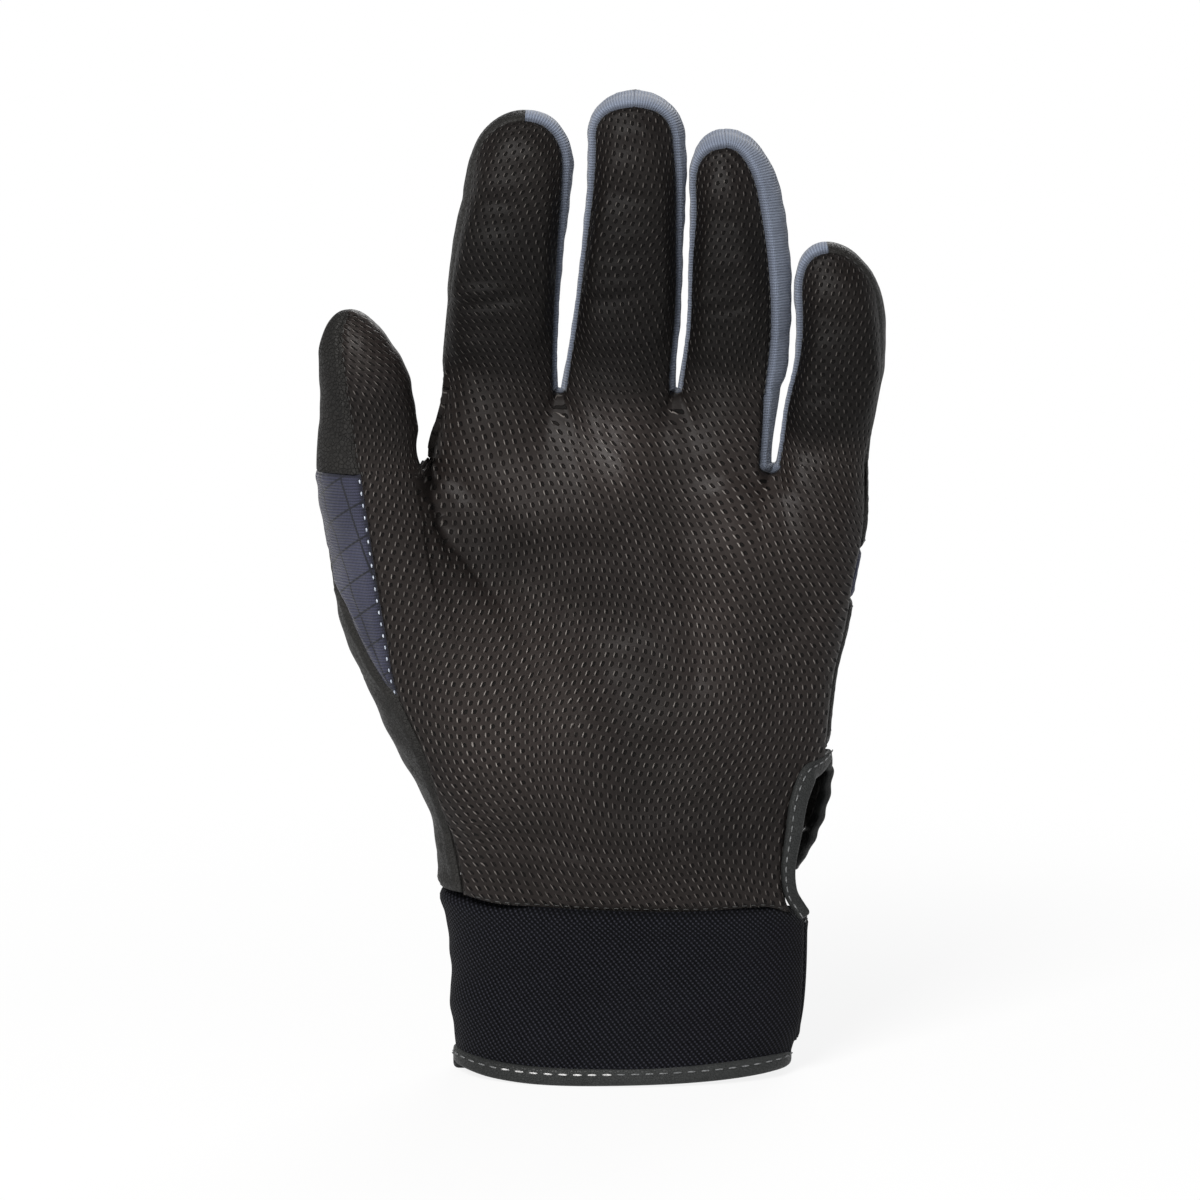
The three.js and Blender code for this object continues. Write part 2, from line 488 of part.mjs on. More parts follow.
// Lines up the hand, each the place across it at height z.
const atShare = (stations) => (z) => acrossX(along(stations, palmShare(z)));
const leftEdge = (z) => handEdges(z)[0];
const rightEdge = (z) => handEdges(z)[1];
const slitTop = palmZ(SLIT_SHARES[SLIT_SHARES.length - 1][0]);
const crotchLine = (z) => (z > LOW_ROOT ? leftEdge(z) : atShare(CROTCH_LINE_SHARES)(z));
const littleLine = (z) => (z > LOW_ROOT ? rightEdge(z) : atShare(LITTLE_LINE_SHARES)(z));
const slitLine = (shares) => (z) => (z < slitTop ? Math.min(atShare(shares)(z), rightEdge(z)) : rightEdge(z));
const fingerLine = (a, b, share) => (z) => {
  const top = half(digitSection(a, WEB).centre + digitSection(a, WEB).half + digitSection(b, WEB).centre - digitSection(b, WEB).half);
  return lerp(lerp(crotchLine(z), littleLine(z), share), top, clamp(palmShare(z), 0, 1));
};
const indexMiddleLine = fingerLine(DIGITS.index, DIGITS.middle, FINGER_SPLIT_SHARES[0]);
const middleRingLine = fingerLine(DIGITS.middle, DIGITS.ring, FINGER_SPLIT_SHARES[1]);
const handLines = (thumbShares, slitShares) => [
  atShare(thumbShares), crotchLine, indexMiddleLine, middleRingLine, littleLine, slitLine(slitShares),
];
const HAND_BLOCKS = [THUMB_BLOCK_SHARES, FINGER_BLOCK_SHARES, FINGER_BLOCK_SHARES, FINGER_BLOCK_SHARES, LITTLE_BLOCK_SHARES];
const blockSizes = HAND_BLOCKS.map((shares) => shares.length - 1);
const fingerColumns = [blockSizes[0], blockSizes[0] + blockSizes[1] + blockSizes[2] + blockSizes[3]];
// Above the low roots only the three long fingers' columns go on.
const stepsUp = (vs) => (i, j) => vs[i] < 1 || (j >= fingerColumns[0] && j < fingerColumns[1]);

const palmRows = [...PALM_ROW_SHARES, ...STUMP_ROW_SHARES.map((s) => 1 + s)];
const palmTrims = [WIDE_SEAM, WIDE_SEAM, seam, half(HINGE_GAP)];
const hand = new THREE.Group();
hand.add(handPanel('palm_leather', palmLeather, 'front', handLines(THUMB_SEAM_SHARES, SLIT_SHARES), HAND_BLOCKS, palmRows, {
  wall: LEATHER, solid: stepsUp(palmRows), trims: palmTrims,
}));
const backLines = handLines(THUMB_BACK_SEAM_SHARES, SLIT_BACK_SHARES);
const [bandLow, bandHigh] = BACK_BAND_SHARES;
const backRows = BACK_ROW_SHARES.map((share) => share * bandLow);
const backTrims = [WIDE_SEAM, WIDE_SEAM, seam, seam];
const baseRows = [...steps(BASE_ROWS).map((s) => lerp(bandHigh, 1, s)), ...STUMP_ROW_SHARES.map((s) => 1 + s)];
hand.add(
  handPanel('back_of_hand', smoothLeather, 'back', backLines, HAND_BLOCKS, backRows, {
    wall: LEATHER, trims: backTrims,
  }),
  handPanel('knuckle_stretch_band', stretchNavy, 'back', backLines, HAND_BLOCKS, steps(2).map((s) => lerp(bandLow, bandHigh, s)), {
    wall: STRETCH_CLOTH, trims: backTrims,
  }),
  handPanel('finger_base_back', smoothLeather, 'back', backLines, HAND_BLOCKS, baseRows, {
    wall: LEATHER, solid: stepsUp(baseRows), trims: palmTrims,
  }),
);

// The two panels that wrap the thumb side of the hand, s from -1 at the back seam to 1 at the palm seam.
function thumbSidePanel(name, material, bottomShares, topShares, rows, options) {
  const skin = (s, v) => {
    const z = palmZ(lerp(along(bottomShares, s), along(topShares, s), v));
    const [left, right] = handEdges(z);
    const [side, shares] = s < 0 ? ['back', THUMB_BACK_SEAM_SHARES] : ['front', THUMB_SEAM_SHARES];
    const t = turnOf(side, (acrossX(along(shares, palmShare(z))) - left) / (right - left));
    return handSkin(z, s < 0 ? -s * (t - 2) : s * t);
  };
  return sheet(name, material, skin, THUMB_COLUMN_SHARES, steps(rows), options);
}
hand.add(
  thumbSidePanel('thumb_side_panel', smoothLeather, SIDE_BOTTOM_SHARES, STRETCH_EDGE_SHARES, THUMB_SIDE_ROWS, {
    wall: LEATHER, trims: [seam, WIDE_SEAM, seam, SLANT_SEAM],
  }),
  thumbSidePanel('thumb_stretch_panel', stretchNavy, STRETCH_EDGE_SHARES, [[0, DIGITS.thumb.rootShare]], THUMB_STRETCH_ROWS, {
    wall: STRETCH_CLOTH, trims: [seam, seam, SLANT_SEAM, half(HINGE_GAP)],
  }),
);

// The folded strips that bind the two edges of the slit.
function slitBinding(name, side, shares, [low, high]) {
  const way = side === 'front' ? 1 : -1;
  const skin = (u, v) => {
    const z = palmZ(lerp(low, high, v));
    const [left, right] = handEdges(z);
    let turn = turnOf(side, (acrossX(along(shares, palmShare(z))) - left) / (right - left));
    let p = handPoint(z, turn);
    for (let gone = 0; gone < u * BINDING_WIDTH;) {
      turn += way * BINDING_STEP_SHARE;
      const next = handPoint(z, turn);
      gone += next.distanceTo(p);
      p = next;
    }
    return handSkin(z, turn);
  };
  return sheet(name, binding, skin, BINDING_COLUMN_SHARES[side], steps(BINDING_ROWS), {
    wall: BINDING_THICKNESS, raise: half(BINDING_THICKNESS - LEATHER), trims: [WIDE_SEAM, seam, seam, seam],
  });
}
hand.add(
  slitBinding('slit_palm_binding', 'front', SLIT_SHARES, SLIT_BINDING_SHARES.front),
  slitBinding('slit_back_binding', 'back', SLIT_BACK_SHARES, SLIT_BINDING_SHARES.back),
);

// Cuff, hem and the closure.
const cuff = new THREE.Group();
const riseAt = (turn, x) => (halfTurn(turn)[0] === 'front' ? HEM_RISE * along(HEM_RISE_SHARES, x / PALM_WIDTH) : 0);
const cuffTop = (turn, x) => palmZ(along(halfTurn(turn)[0] === 'front' ? CUFF_TOP_SHARES : CUFF_BACK_SEAM_SHARES, x / PALM_WIDTH));
const cuffTurns = (from, to, count) => steps(count).map((s) => lerp(from, to, s));
const cuffSkin = (turn, v) => {
  const x = cuffPoint(half(CUFF_HEIGHT), turn).x;
  return skinOf(cuffPoint, lerp(HEM_HEIGHT + riseAt(turn, x), cuffTop(turn, x), v), turn);
};
cuff.add(sheet('wrist_cuff', foamCloth, cuffSkin, cuffTurns(...CUFF_TURN_SHARES, CUFF_COLUMNS), CUFF_ROW_SHARES, { wall: FOAM_CLOTH }));

// The hem stands straight, so that its lower edge is flat on the floor.
const hemSkin = (turn, v) => {
  const { point, normal } = skinOf(cuffPoint, half(HEM_HEIGHT), turn);
  const rise = riseAt(turn, point.x);
  return { point: point.setZ(lerp(rise, HEM_HEIGHT + rise, v)), normal: normal.setZ(0).normalize() };
};
cuff.add(sheet('cuff_hem', binding, hemSkin, cuffTurns(...CUFF_TURN_SHARES, CUFF_COLUMNS), [0, 1], {
  wall: FOAM_CLOTH + 2 * HEM_WALL, raise: HEM_WALL, trims: [seam, seam, 0, seam],
}));

// A layer lying over the back of the cuff, stand off it, between two turns and two heights.
function cuffLayer(name, material, [from, to], [low, high], columns, stand, wall) {
  const skin = (turn, v) => {
    const off = stand(clamp((turn - from) / (to - from), 0, 1));
    return skinOf((z, a) => cuffPoint(z, a, off), lerp(low, high, v), turn);
  };
  return sheet(name, material, skin, cuffTurns(from, to, columns), steps(2), { wall, trims: [0, 0, 0, 0] });
}
const strapSpan = [STRAP_FLOOR, STRAP_FLOOR + STRAP_HEIGHT];
const patchSpan = [strapSpan[0] + PATCH_INSET, strapSpan[1] - PATCH_INSET];
const loopStand = LAYER_GAP + PATCH_WALL;
const hookStand = 2 * loopStand;
const strapStand = hookStand + LAYER_GAP + FOAM_CLOTH;
const labelStand = -FOAM_CLOTH - LAYER_GAP;
cuff.add(
  cuffLayer('loop_patch', fastener, LOOP_TURN_SHARES, patchSpan, PATCH_COLUMNS, () => loopStand, PATCH_WALL),
  cuffLayer('size_label', stretchNavy, LABEL_TURN_SHARES, LABEL_SPAN_SHARES.map((s) => s * CUFF_HEIGHT), PATCH_COLUMNS, () => labelStand, LABEL_WALL),
);
const strap = new THREE.Group();
strap.add(
  cuffLayer('closure_strap', foamCloth, STRAP_TURN_SHARES, strapSpan, STRAP_COLUMNS, (s) => strapStand * along(STRAP_STAND_SHARES, s), FOAM_CLOTH),
  cuffLayer('hook_patch', fastener, HOOK_TURN_SHARES, patchSpan, PATCH_COLUMNS, () => hookStand, PATCH_WALL),
  cuffLayer('strap_end_tab', smoothLeather, TAB_TURN_SHARES, patchSpan, 2, () => strapStand - half(LAYER_GAP), FOAM_CLOTH - LAYER_GAP),
);

const fingers = new THREE.Group();
fingers.add(
  digitPanel('index_palm_side', palmLeather, DIGITS.index, 0, 1, 6, LEATHER),
  digitPanel('index_inner_fourchette', sideCloth, DIGITS.index, 1, 2, 4, STRETCH_CLOTH),
  digitPanel('index_back', smoothLeather, DIGITS.index, 2, 4, 8, LEATHER),
  digitPanel('middle_palm_side', palmLeather, DIGITS.middle, 0, 1, 6, LEATHER),
  digitPanel('middle_ring_side_fourchette', sideCloth, DIGITS.middle, 1, 2, 4, STRETCH_CLOTH),
  digitPanel('middle_back', smoothLeather, DIGITS.middle, 2, 3, 6, LEATHER),
  digitPanel('middle_index_side_fourchette', sideCloth, DIGITS.middle, 3, 4, 4, STRETCH_CLOTH),
  digitPanel('ring_palm_side', palmLeather, DIGITS.ring, 0, 1, 6, LEATHER),
  digitPanel('ring_little_side_fourchette', sideCloth, DIGITS.ring, 1, 2, 4, STRETCH_CLOTH),
  digitPanel('ring_back', smoothLeather, DIGITS.ring, 2, 3, 6, LEATHER),
  digitPanel('ring_middle_side_fourchette', sideCloth, DIGITS.ring, 3, 4, 4, STRETCH_CLOTH),
  digitPanel('little_palm_side', palmLeather, DIGITS.little, 0, 1, 6, LEATHER),
  digitPanel('little_back', smoothLeather, DIGITS.little, 1, 3, 8, LEATHER),
  digitPanel('little_inner_fourchette', sideCloth, DIGITS.little, 3, 4, 4, STRETCH_CLOTH),
  digitPanel('thumb_palm_side', palmLeather, DIGITS.thumb, 0, 2, 9, LEATHER),
  digitPanel('thumb_cap', smoothLeather, DIGITS.thumb, 2, 4, 9, LEATHER),
);

const glove = new THREE.Group();
glove.add(hand, cuff, strap, fingers);
const box = new THREE.Box3().setFromObject(glove);
glove.position.set(-half(box.min.x + box.max.x), -half(box.min.y + box.max.y), -box.min.z);
export default glove;
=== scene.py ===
"""Looks for a left-hand batting glove: sewn leather, knitted finger sides, cuff and strap.

The glove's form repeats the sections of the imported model, in millimetres, and every panel is a
fine closed shell over it whose edges roll in at the sewn seams. All places are in the row's frame.
"""

from __future__ import annotations

import logging
import math
from dataclasses import dataclass, field
from enum import Enum
from itertools import accumulate
from typing import Callable, Sequence

import bpy
import numpy as np
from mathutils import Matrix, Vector, kdtree

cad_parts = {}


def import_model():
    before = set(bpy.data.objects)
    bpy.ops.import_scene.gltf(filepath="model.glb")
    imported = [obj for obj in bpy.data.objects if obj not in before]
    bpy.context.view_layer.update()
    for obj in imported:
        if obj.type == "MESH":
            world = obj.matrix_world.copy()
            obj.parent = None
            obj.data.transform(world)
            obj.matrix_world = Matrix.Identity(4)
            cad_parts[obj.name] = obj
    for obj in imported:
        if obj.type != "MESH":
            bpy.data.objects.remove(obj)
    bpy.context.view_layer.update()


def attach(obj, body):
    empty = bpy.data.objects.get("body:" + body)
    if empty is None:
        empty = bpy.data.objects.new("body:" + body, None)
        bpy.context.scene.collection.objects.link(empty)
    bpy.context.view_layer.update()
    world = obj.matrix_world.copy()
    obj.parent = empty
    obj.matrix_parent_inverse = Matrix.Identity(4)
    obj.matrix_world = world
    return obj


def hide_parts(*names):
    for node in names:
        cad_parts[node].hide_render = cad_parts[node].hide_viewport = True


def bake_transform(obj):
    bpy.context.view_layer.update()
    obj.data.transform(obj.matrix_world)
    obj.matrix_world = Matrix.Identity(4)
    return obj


LOG = logging.getLogger("glove")
Stations = Sequence[Sequence[float]]
Colour = tuple[float, float, float]
Array = np.ndarray

CUFF_HEIGHT = 40.0
PALM_LENGTH = 115.0
PALM_WIDTH = 97.4
LEATHER = 1.1
STRETCH = 0.8
FOAM = 2.2
LEAST_THICKNESS = 3.4
CORE = np.array([0.9, 0, 1])
ROW_SHIFT = np.array([0.18956, -0.89571, 0.04765])


def along(stations: Stations, t: Array | float) -> Array:
    """Value at t of a smooth curve through (t, value) stations.

    Args:
        stations: the (t, value) pairs, t rising.
        t: where the curve is read.

    Returns:
        The values, constant beyond the ends.
    """
    at, value = np.array(stations, float).T
    last = len(at) - 1
    low, high = np.maximum(np.arange(last + 1) - 1, 0), np.minimum(np.arange(last + 1) + 1, last)
    slope = (value[high] - value[low]) / (at[high] - at[low])
    t = np.clip(np.asarray(t, float), at[0], at[-1])
    i = np.clip(np.searchsorted(at, t, side="left") - 1, 0, last - 1)
    span = at[i + 1] - at[i]
    s = (t - at[i]) / span
    rest = 1 - s
    return (value[i] * (1 + 2 * s) * rest**2 + slope[i] * span * s * rest**2
            + value[i + 1] * s**2 * (3 - 2 * s) - slope[i + 1] * span * s**2 * rest)


def mix(a: Array | float, b: Array | float, t: Array | float) -> Array:
    """The value a share t of the way from a to b."""
    return a + (b - a) * t


def smooth(a: float, b: float, t: Array | float) -> Array:
    """0 before a, 1 after b, and a smooth step between."""
    s = np.clip((np.asarray(t, float) - a) / (b - a), 0, 1)
    return s * s * (3 - 2 * s)


def hump(distance: Array, width: float) -> Array:
    """A smooth bump of height 1 at distance 0."""
    return np.exp(-((distance / width) ** 2))


def unit(vectors: Array) -> Array:
    """The vectors at length 1."""
    return vectors / np.linalg.norm(vectors, axis=-1, keepdims=True)


def lengths(points: Array, axis: int = 0, least: float = 0.0) -> Array:
    """Length walked along rows or columns of points, 0 at the start.

    Args:
        points: places, a line or a grid of them.
        axis: of the walk.
        least: added to each step, where steps may be nothing.

    Returns:
        The lengths.
    """
    steps = np.linalg.norm(np.diff(points, axis=axis), axis=-1) + least
    return np.insert(np.cumsum(steps, axis=axis), 0, 0, axis=axis)


def search_tree(places: Array) -> kdtree.KDTree:
    """A search tree over places.

    Args:
        places: points in mm.

    Returns:
        The tree, ready for use.
    """
    tree = kdtree.KDTree(len(places))
    for k, place in enumerate(places):
        tree.insert(place, k)
    tree.balance()
    return tree


def palm_share(z: Array | float) -> Array:
    """Share of the palm's length at height z."""
    return (np.asarray(z, float) - CUFF_HEIGHT) / PALM_LENGTH


def palm_z(share: Array | float) -> Array:
    """Height at a share of the palm's length."""
    return CUFF_HEIGHT + PALM_LENGTH * np.asarray(share, float)


class Face(Enum):
    """The two faces of the hand."""

    FRONT = -1
    BACK = 1


@dataclass(frozen=True)
class Section:
    """A cross-section at some heights: its middle, half width and depths."""

    centre: Array
    half: Array
    front: Array
    back: Array
    middle: Array
    power: float

    def reach(self, face: Face, x: Array) -> Array:
        """How far the surface stands off the hand's plane on that face at x.

        Args:
            face: the palm side or the back.
            x: places across, in mm.

        Returns:
            The distances.
        """
        u = np.abs(x - self.centre) / np.maximum(self.half, 1e-9)
        q = 1 - u**self.power
        depth = self.front if face is Face.FRONT else self.back
        return face.value * self.middle + depth * np.sign(q) * np.abs(q) ** (1 / self.power)


@dataclass(frozen=True)
class DigitForm:
    """Sizes of one digit. Insets are how far each seam lies in from the outline."""

    name: str
    root_share: float
    length: float
    tip_round: float
    front_depth: float
    back_depth: float
    curl: float
    centre: Stations
    half: Stations
    depth: Stations
    left: tuple[Sequence[float], Sequence[float]]
    right: tuple[Sequence[float], Sequence[float]]
    tip_inset: float
    back_tip_inset: float
    forward: Stations = ((0, 0), (1, 0))
    power: float = 2.2
    shaft: float = 0.6
    tip_stop: float = 0.999

    @property
    def root(self) -> float:
        """Height of the root plane."""
        return float(palm_z(self.root_share))

    @property
    def tip(self) -> float:
        """Height of the tip."""
        return self.root + self.length

    @property
    def round_from(self) -> float:
        """Height at which the rounded tip starts."""
        return self.tip - self.tip_round

    @property
    def root_x(self) -> float:
        """x of the middle of the root."""
        return float(self.section(np.array(self.root)).centre)

    def edge(self, side: int, z: float) -> float:
        """x of the left or right edge at height z."""
        section = self.section(np.array(z, float))
        return float(section.centre + side * section.half)

    def seam_x(self, side: int, face: Face) -> float:
        """x of a seam at the root."""
        insets = (self.left if side < 0 else self.right)[0 if face is Face.FRONT else 1]
        return self.edge(side, self.root) - side * insets[0]

    def section(self, z: Array) -> Section:
        """The digit's section at height z.

        Args:
            z: heights.

        Returns:
            The section, its sizes one for each height.
        """
        above = np.asarray(z, float) - self.root
        t = np.where(above >= 0, above / self.length, above / PALM_LENGTH)
        depth = along(self.depth, t)
        return Section(PALM_WIDTH * along(self.centre, t), PALM_WIDTH * along(self.half, t),
                       self.front_depth * depth, self.back_depth * depth,
                       -along(self.forward, t) + self.curl * np.clip(t, 0, 1) ** 2, self.power)

    def outline(self, row: Array, side: int, insets: Sequence[float],
                tip_inset: float) -> tuple[Array, Array]:
        """Place across and height of a seam on each row.

        Args:
            row: 0 at the root plane to 1 at the tip.
            side: -1 on the left, 1 on the right.
            insets: of the seam at the root, the middle and the tip.
            tip_inset: how far the seam stops short of the tip.

        Returns:
            x and z.
        """
        shaft = np.clip(row / self.shaft, 0, 1)
        over = np.clip((row - self.shaft) / (1 - self.shaft), 0, 1)
        turn = over * self.tip_stop * math.pi / 2
        rise = (self.tip_round - tip_inset * np.sin(turn)) * np.sin(turn)
        z = np.where(row > self.shaft, self.round_from + rise, mix(self.root, self.round_from, shaft))
        section = self.section(z)
        given = along([(0, insets[0]), (0.5, insets[1]), (1, insets[2])], shaft)
        return section.centre + side * (section.half - given) * np.cos(turn), z

    def skin(self, face: Face, x: Array, z: Array) -> Array:
        """The digit's own surface over (x, z), closing towards the tip.

        Args:
            face: the palm side or the back.
            x: places across.
            z: heights.

        Returns:
            The points.
        """
        section = self.section(z)
        into = np.clip((z - self.round_from) / self.tip_round, 0, 1)
        u = np.clip((x - section.centre) / section.half, -1, 1)
        w = np.maximum(1 - np.abs(u) ** self.power - into**self.power, 0) ** (1 / self.power)
        depth = section.front if face is Face.FRONT else section.back
        return np.stack([x, section.middle + face.value * depth * w, z], -1)

    def place(self, row: Array, turn: Array) -> Array:
        """Points at turns 0 to 1 on the palm side, to 2 on the right, to 3 on the back, to 4 on the left.

        Args:
            row: rows, as a column.
            turn: turns, as a row, all within one stretch.

        Returns:
            The points on the (row, turn) grid.
        """
        stretch = int(min(math.floor(turn.mean() % 4), 3))
        t = np.clip(turn - math.floor(turn.mean()), 0, 1)[None, :]
        row = row[:, None]
        seams = {(side, face): self.outline(row, side, insets[k], tip_inset)
                 for side, insets in ((-1, self.left), (1, self.right))
                 for k, (face, tip_inset) in enumerate(zip(Face, (self.tip_inset, self.back_tip_inset)))}
        if stretch in (0, 2):
            face = Face.FRONT if stretch == 0 else Face.BACK
            a, b = seams[(-1, face)], seams[(1, face)]
            eased = (1 - np.cos(math.pi * (t if stretch == 0 else 1 - t))) / 2
            return self.skin(face, mix(a[0], b[0], eased), mix(a[1], b[1], eased))
        side = 1 if stretch == 1 else -1
        q = 2 * t - 1 if stretch == 1 else 1 - 2 * t
        edge = self.outline(row, side, (0, 0, 0), 0)
        faces = []
        for face in Face:
            far = seams[(side, face)]
            faces.append(self.skin(face, mix(edge[0], far[0], q**2), mix(edge[1], far[1], q**2)))
        return np.where((q < 0)[..., None], faces[0], faces[1])


DEPTH = ((-0.4, 0.9), (-0.15, 1.05), (0, 1), (0.5, 0.95), (1, 0.9))
INDEX = DigitForm(
    "index", 1, 61.9, 13, 9.6, 9.2, -2.5,
    ((-0.4, -0.23), (-0.15, -0.238), (0, -0.2342), (0.25, -0.2238), (0.5, -0.2078), (0.75, -0.1825),
     (1, -0.17)),
    ((-0.4, 0.17), (-0.15, 0.153), (0, 0.1354), (0.25, 0.1274), (0.5, 0.124), (0.75, 0.1182), (1, 0.115)),
    DEPTH, ((0.2, 0.2, 0.7), (3, 3, 3)), ((0.6, 0.9, 2.1), (2.4, 2.4, 2.8)), 1.8, 2.4)
MIDDLE = DigitForm(
    "middle", 1, 65.5, 9.5, 9.8, 9.4, -3,
    ((-0.4, 0.0436), (-0.15, 0.04), (0, 0.0402), (0.25, 0.0602), (0.5, 0.0725), (0.75, 0.0822), (1, 0.0758)),
    ((-0.4, 0.1607), (-0.15, 0.1446), (0, 0.1297), (0.25, 0.1222), (0.5, 0.1155), (0.75, 0.1126),
     (1, 0.1108)),
    DEPTH, ((0.7, 0.7, 1.5), (2.4, 2.4, 2.8)), ((1.0, 1.2, 2.7), (2.4, 2.4, 2.8)), 2.2, 0.9)
RING = DigitForm(
    "ring", 1, 57, 14, 9.4, 9, -3,
    ((-0.4, 0.2961), (-0.15, 0.28), (0, 0.2934), (0.25, 0.3145), (0.5, 0.3155), (0.75, 0.3065), (1, 0.28)),
    ((-0.4, 0.1423), (-0.15, 0.1105), (0, 0.1162), (0.25, 0.118), (0.5, 0.116), (0.75, 0.1055), (1, 0.102)),
    DEPTH, ((0.5, 0.5, 1.1), (2.6, 2.6, 3)), ((3.4, 4.7, 5.2), (1.6, 1.6, 2)), 2.8, 0.9)
LITTLE = DigitForm(
    "little", 0.856, 49.2, 13.5, 8.6, 8.2, -2.5,
    ((-0.6, 0.415), (-0.4, 0.438), (-0.15, 0.49), (0, 0.5036), (0.25, 0.5243), (0.5, 0.543), (0.75, 0.537),
     (1, 0.5129)),
    ((-0.6, 0.09), (-0.4, 0.1), (-0.15, 0.112), (0, 0.1022), (0.25, 0.1048), (0.5, 0.0998), (0.75, 0.0977),
     (1, 0.0954)),
    ((-0.4, 1), (-0.15, 1.1), (0, 1), (0.5, 0.95), (1, 0.9)),
    ((0.5, 0.5, 1.3), (2.4, 2.4, 2.6)), ((0.2, 0.2, 0.7), (3, 3, 3)), 1.8, 2)
THUMB = DigitForm(
    "thumb", 0.856, 35.6, 17.9, 10, 9.6, -2,
    ((-0.8, -0.24), (-0.7, -0.2434), (-0.6, -0.2755), (-0.4, -0.35), (-0.3, -0.396), (-0.15, -0.4787),
     (0, -0.5262), (0.25, -0.5285), (0.5, -0.5326), (0.75, -0.551), (1, -0.5693)),
    ((-0.8, 0.1343), (-0.7, 0.1423), (-0.6, 0.1676), (-0.4, 0.2009), (-0.3, 0.1963), (-0.15, 0.1412),
     (0, 0.1204), (0.25, 0.1097), (0.5, 0.0987), (0.75, 0.0955), (1, 0.0918)),
    ((-0.8, 1.5), (-0.6, 1.55), (-0.4, 1.5), (-0.3, 1.4), (-0.15, 1.2), (0, 1), (0.5, 0.9), (1, 0.85)),
    ((10.1, 7.6, 5.6), (3, 3, 3)), ((1.5, 1.5, 1.5), (2.2, 2.2, 2.4)), 1, 2,
    forward=((-0.8, 1.2), (-0.6, 3.96), (-0.4, 6.96), (-0.3, 8.4), (-0.15, 10.56), (0, 12), (1, 13.2)))
DIGITS = (INDEX, MIDDLE, RING, LITTLE, THUMB)
WEB = INDEX.root
LOW_ROOT = THUMB.root
JUST_ABOVE = 1e-4


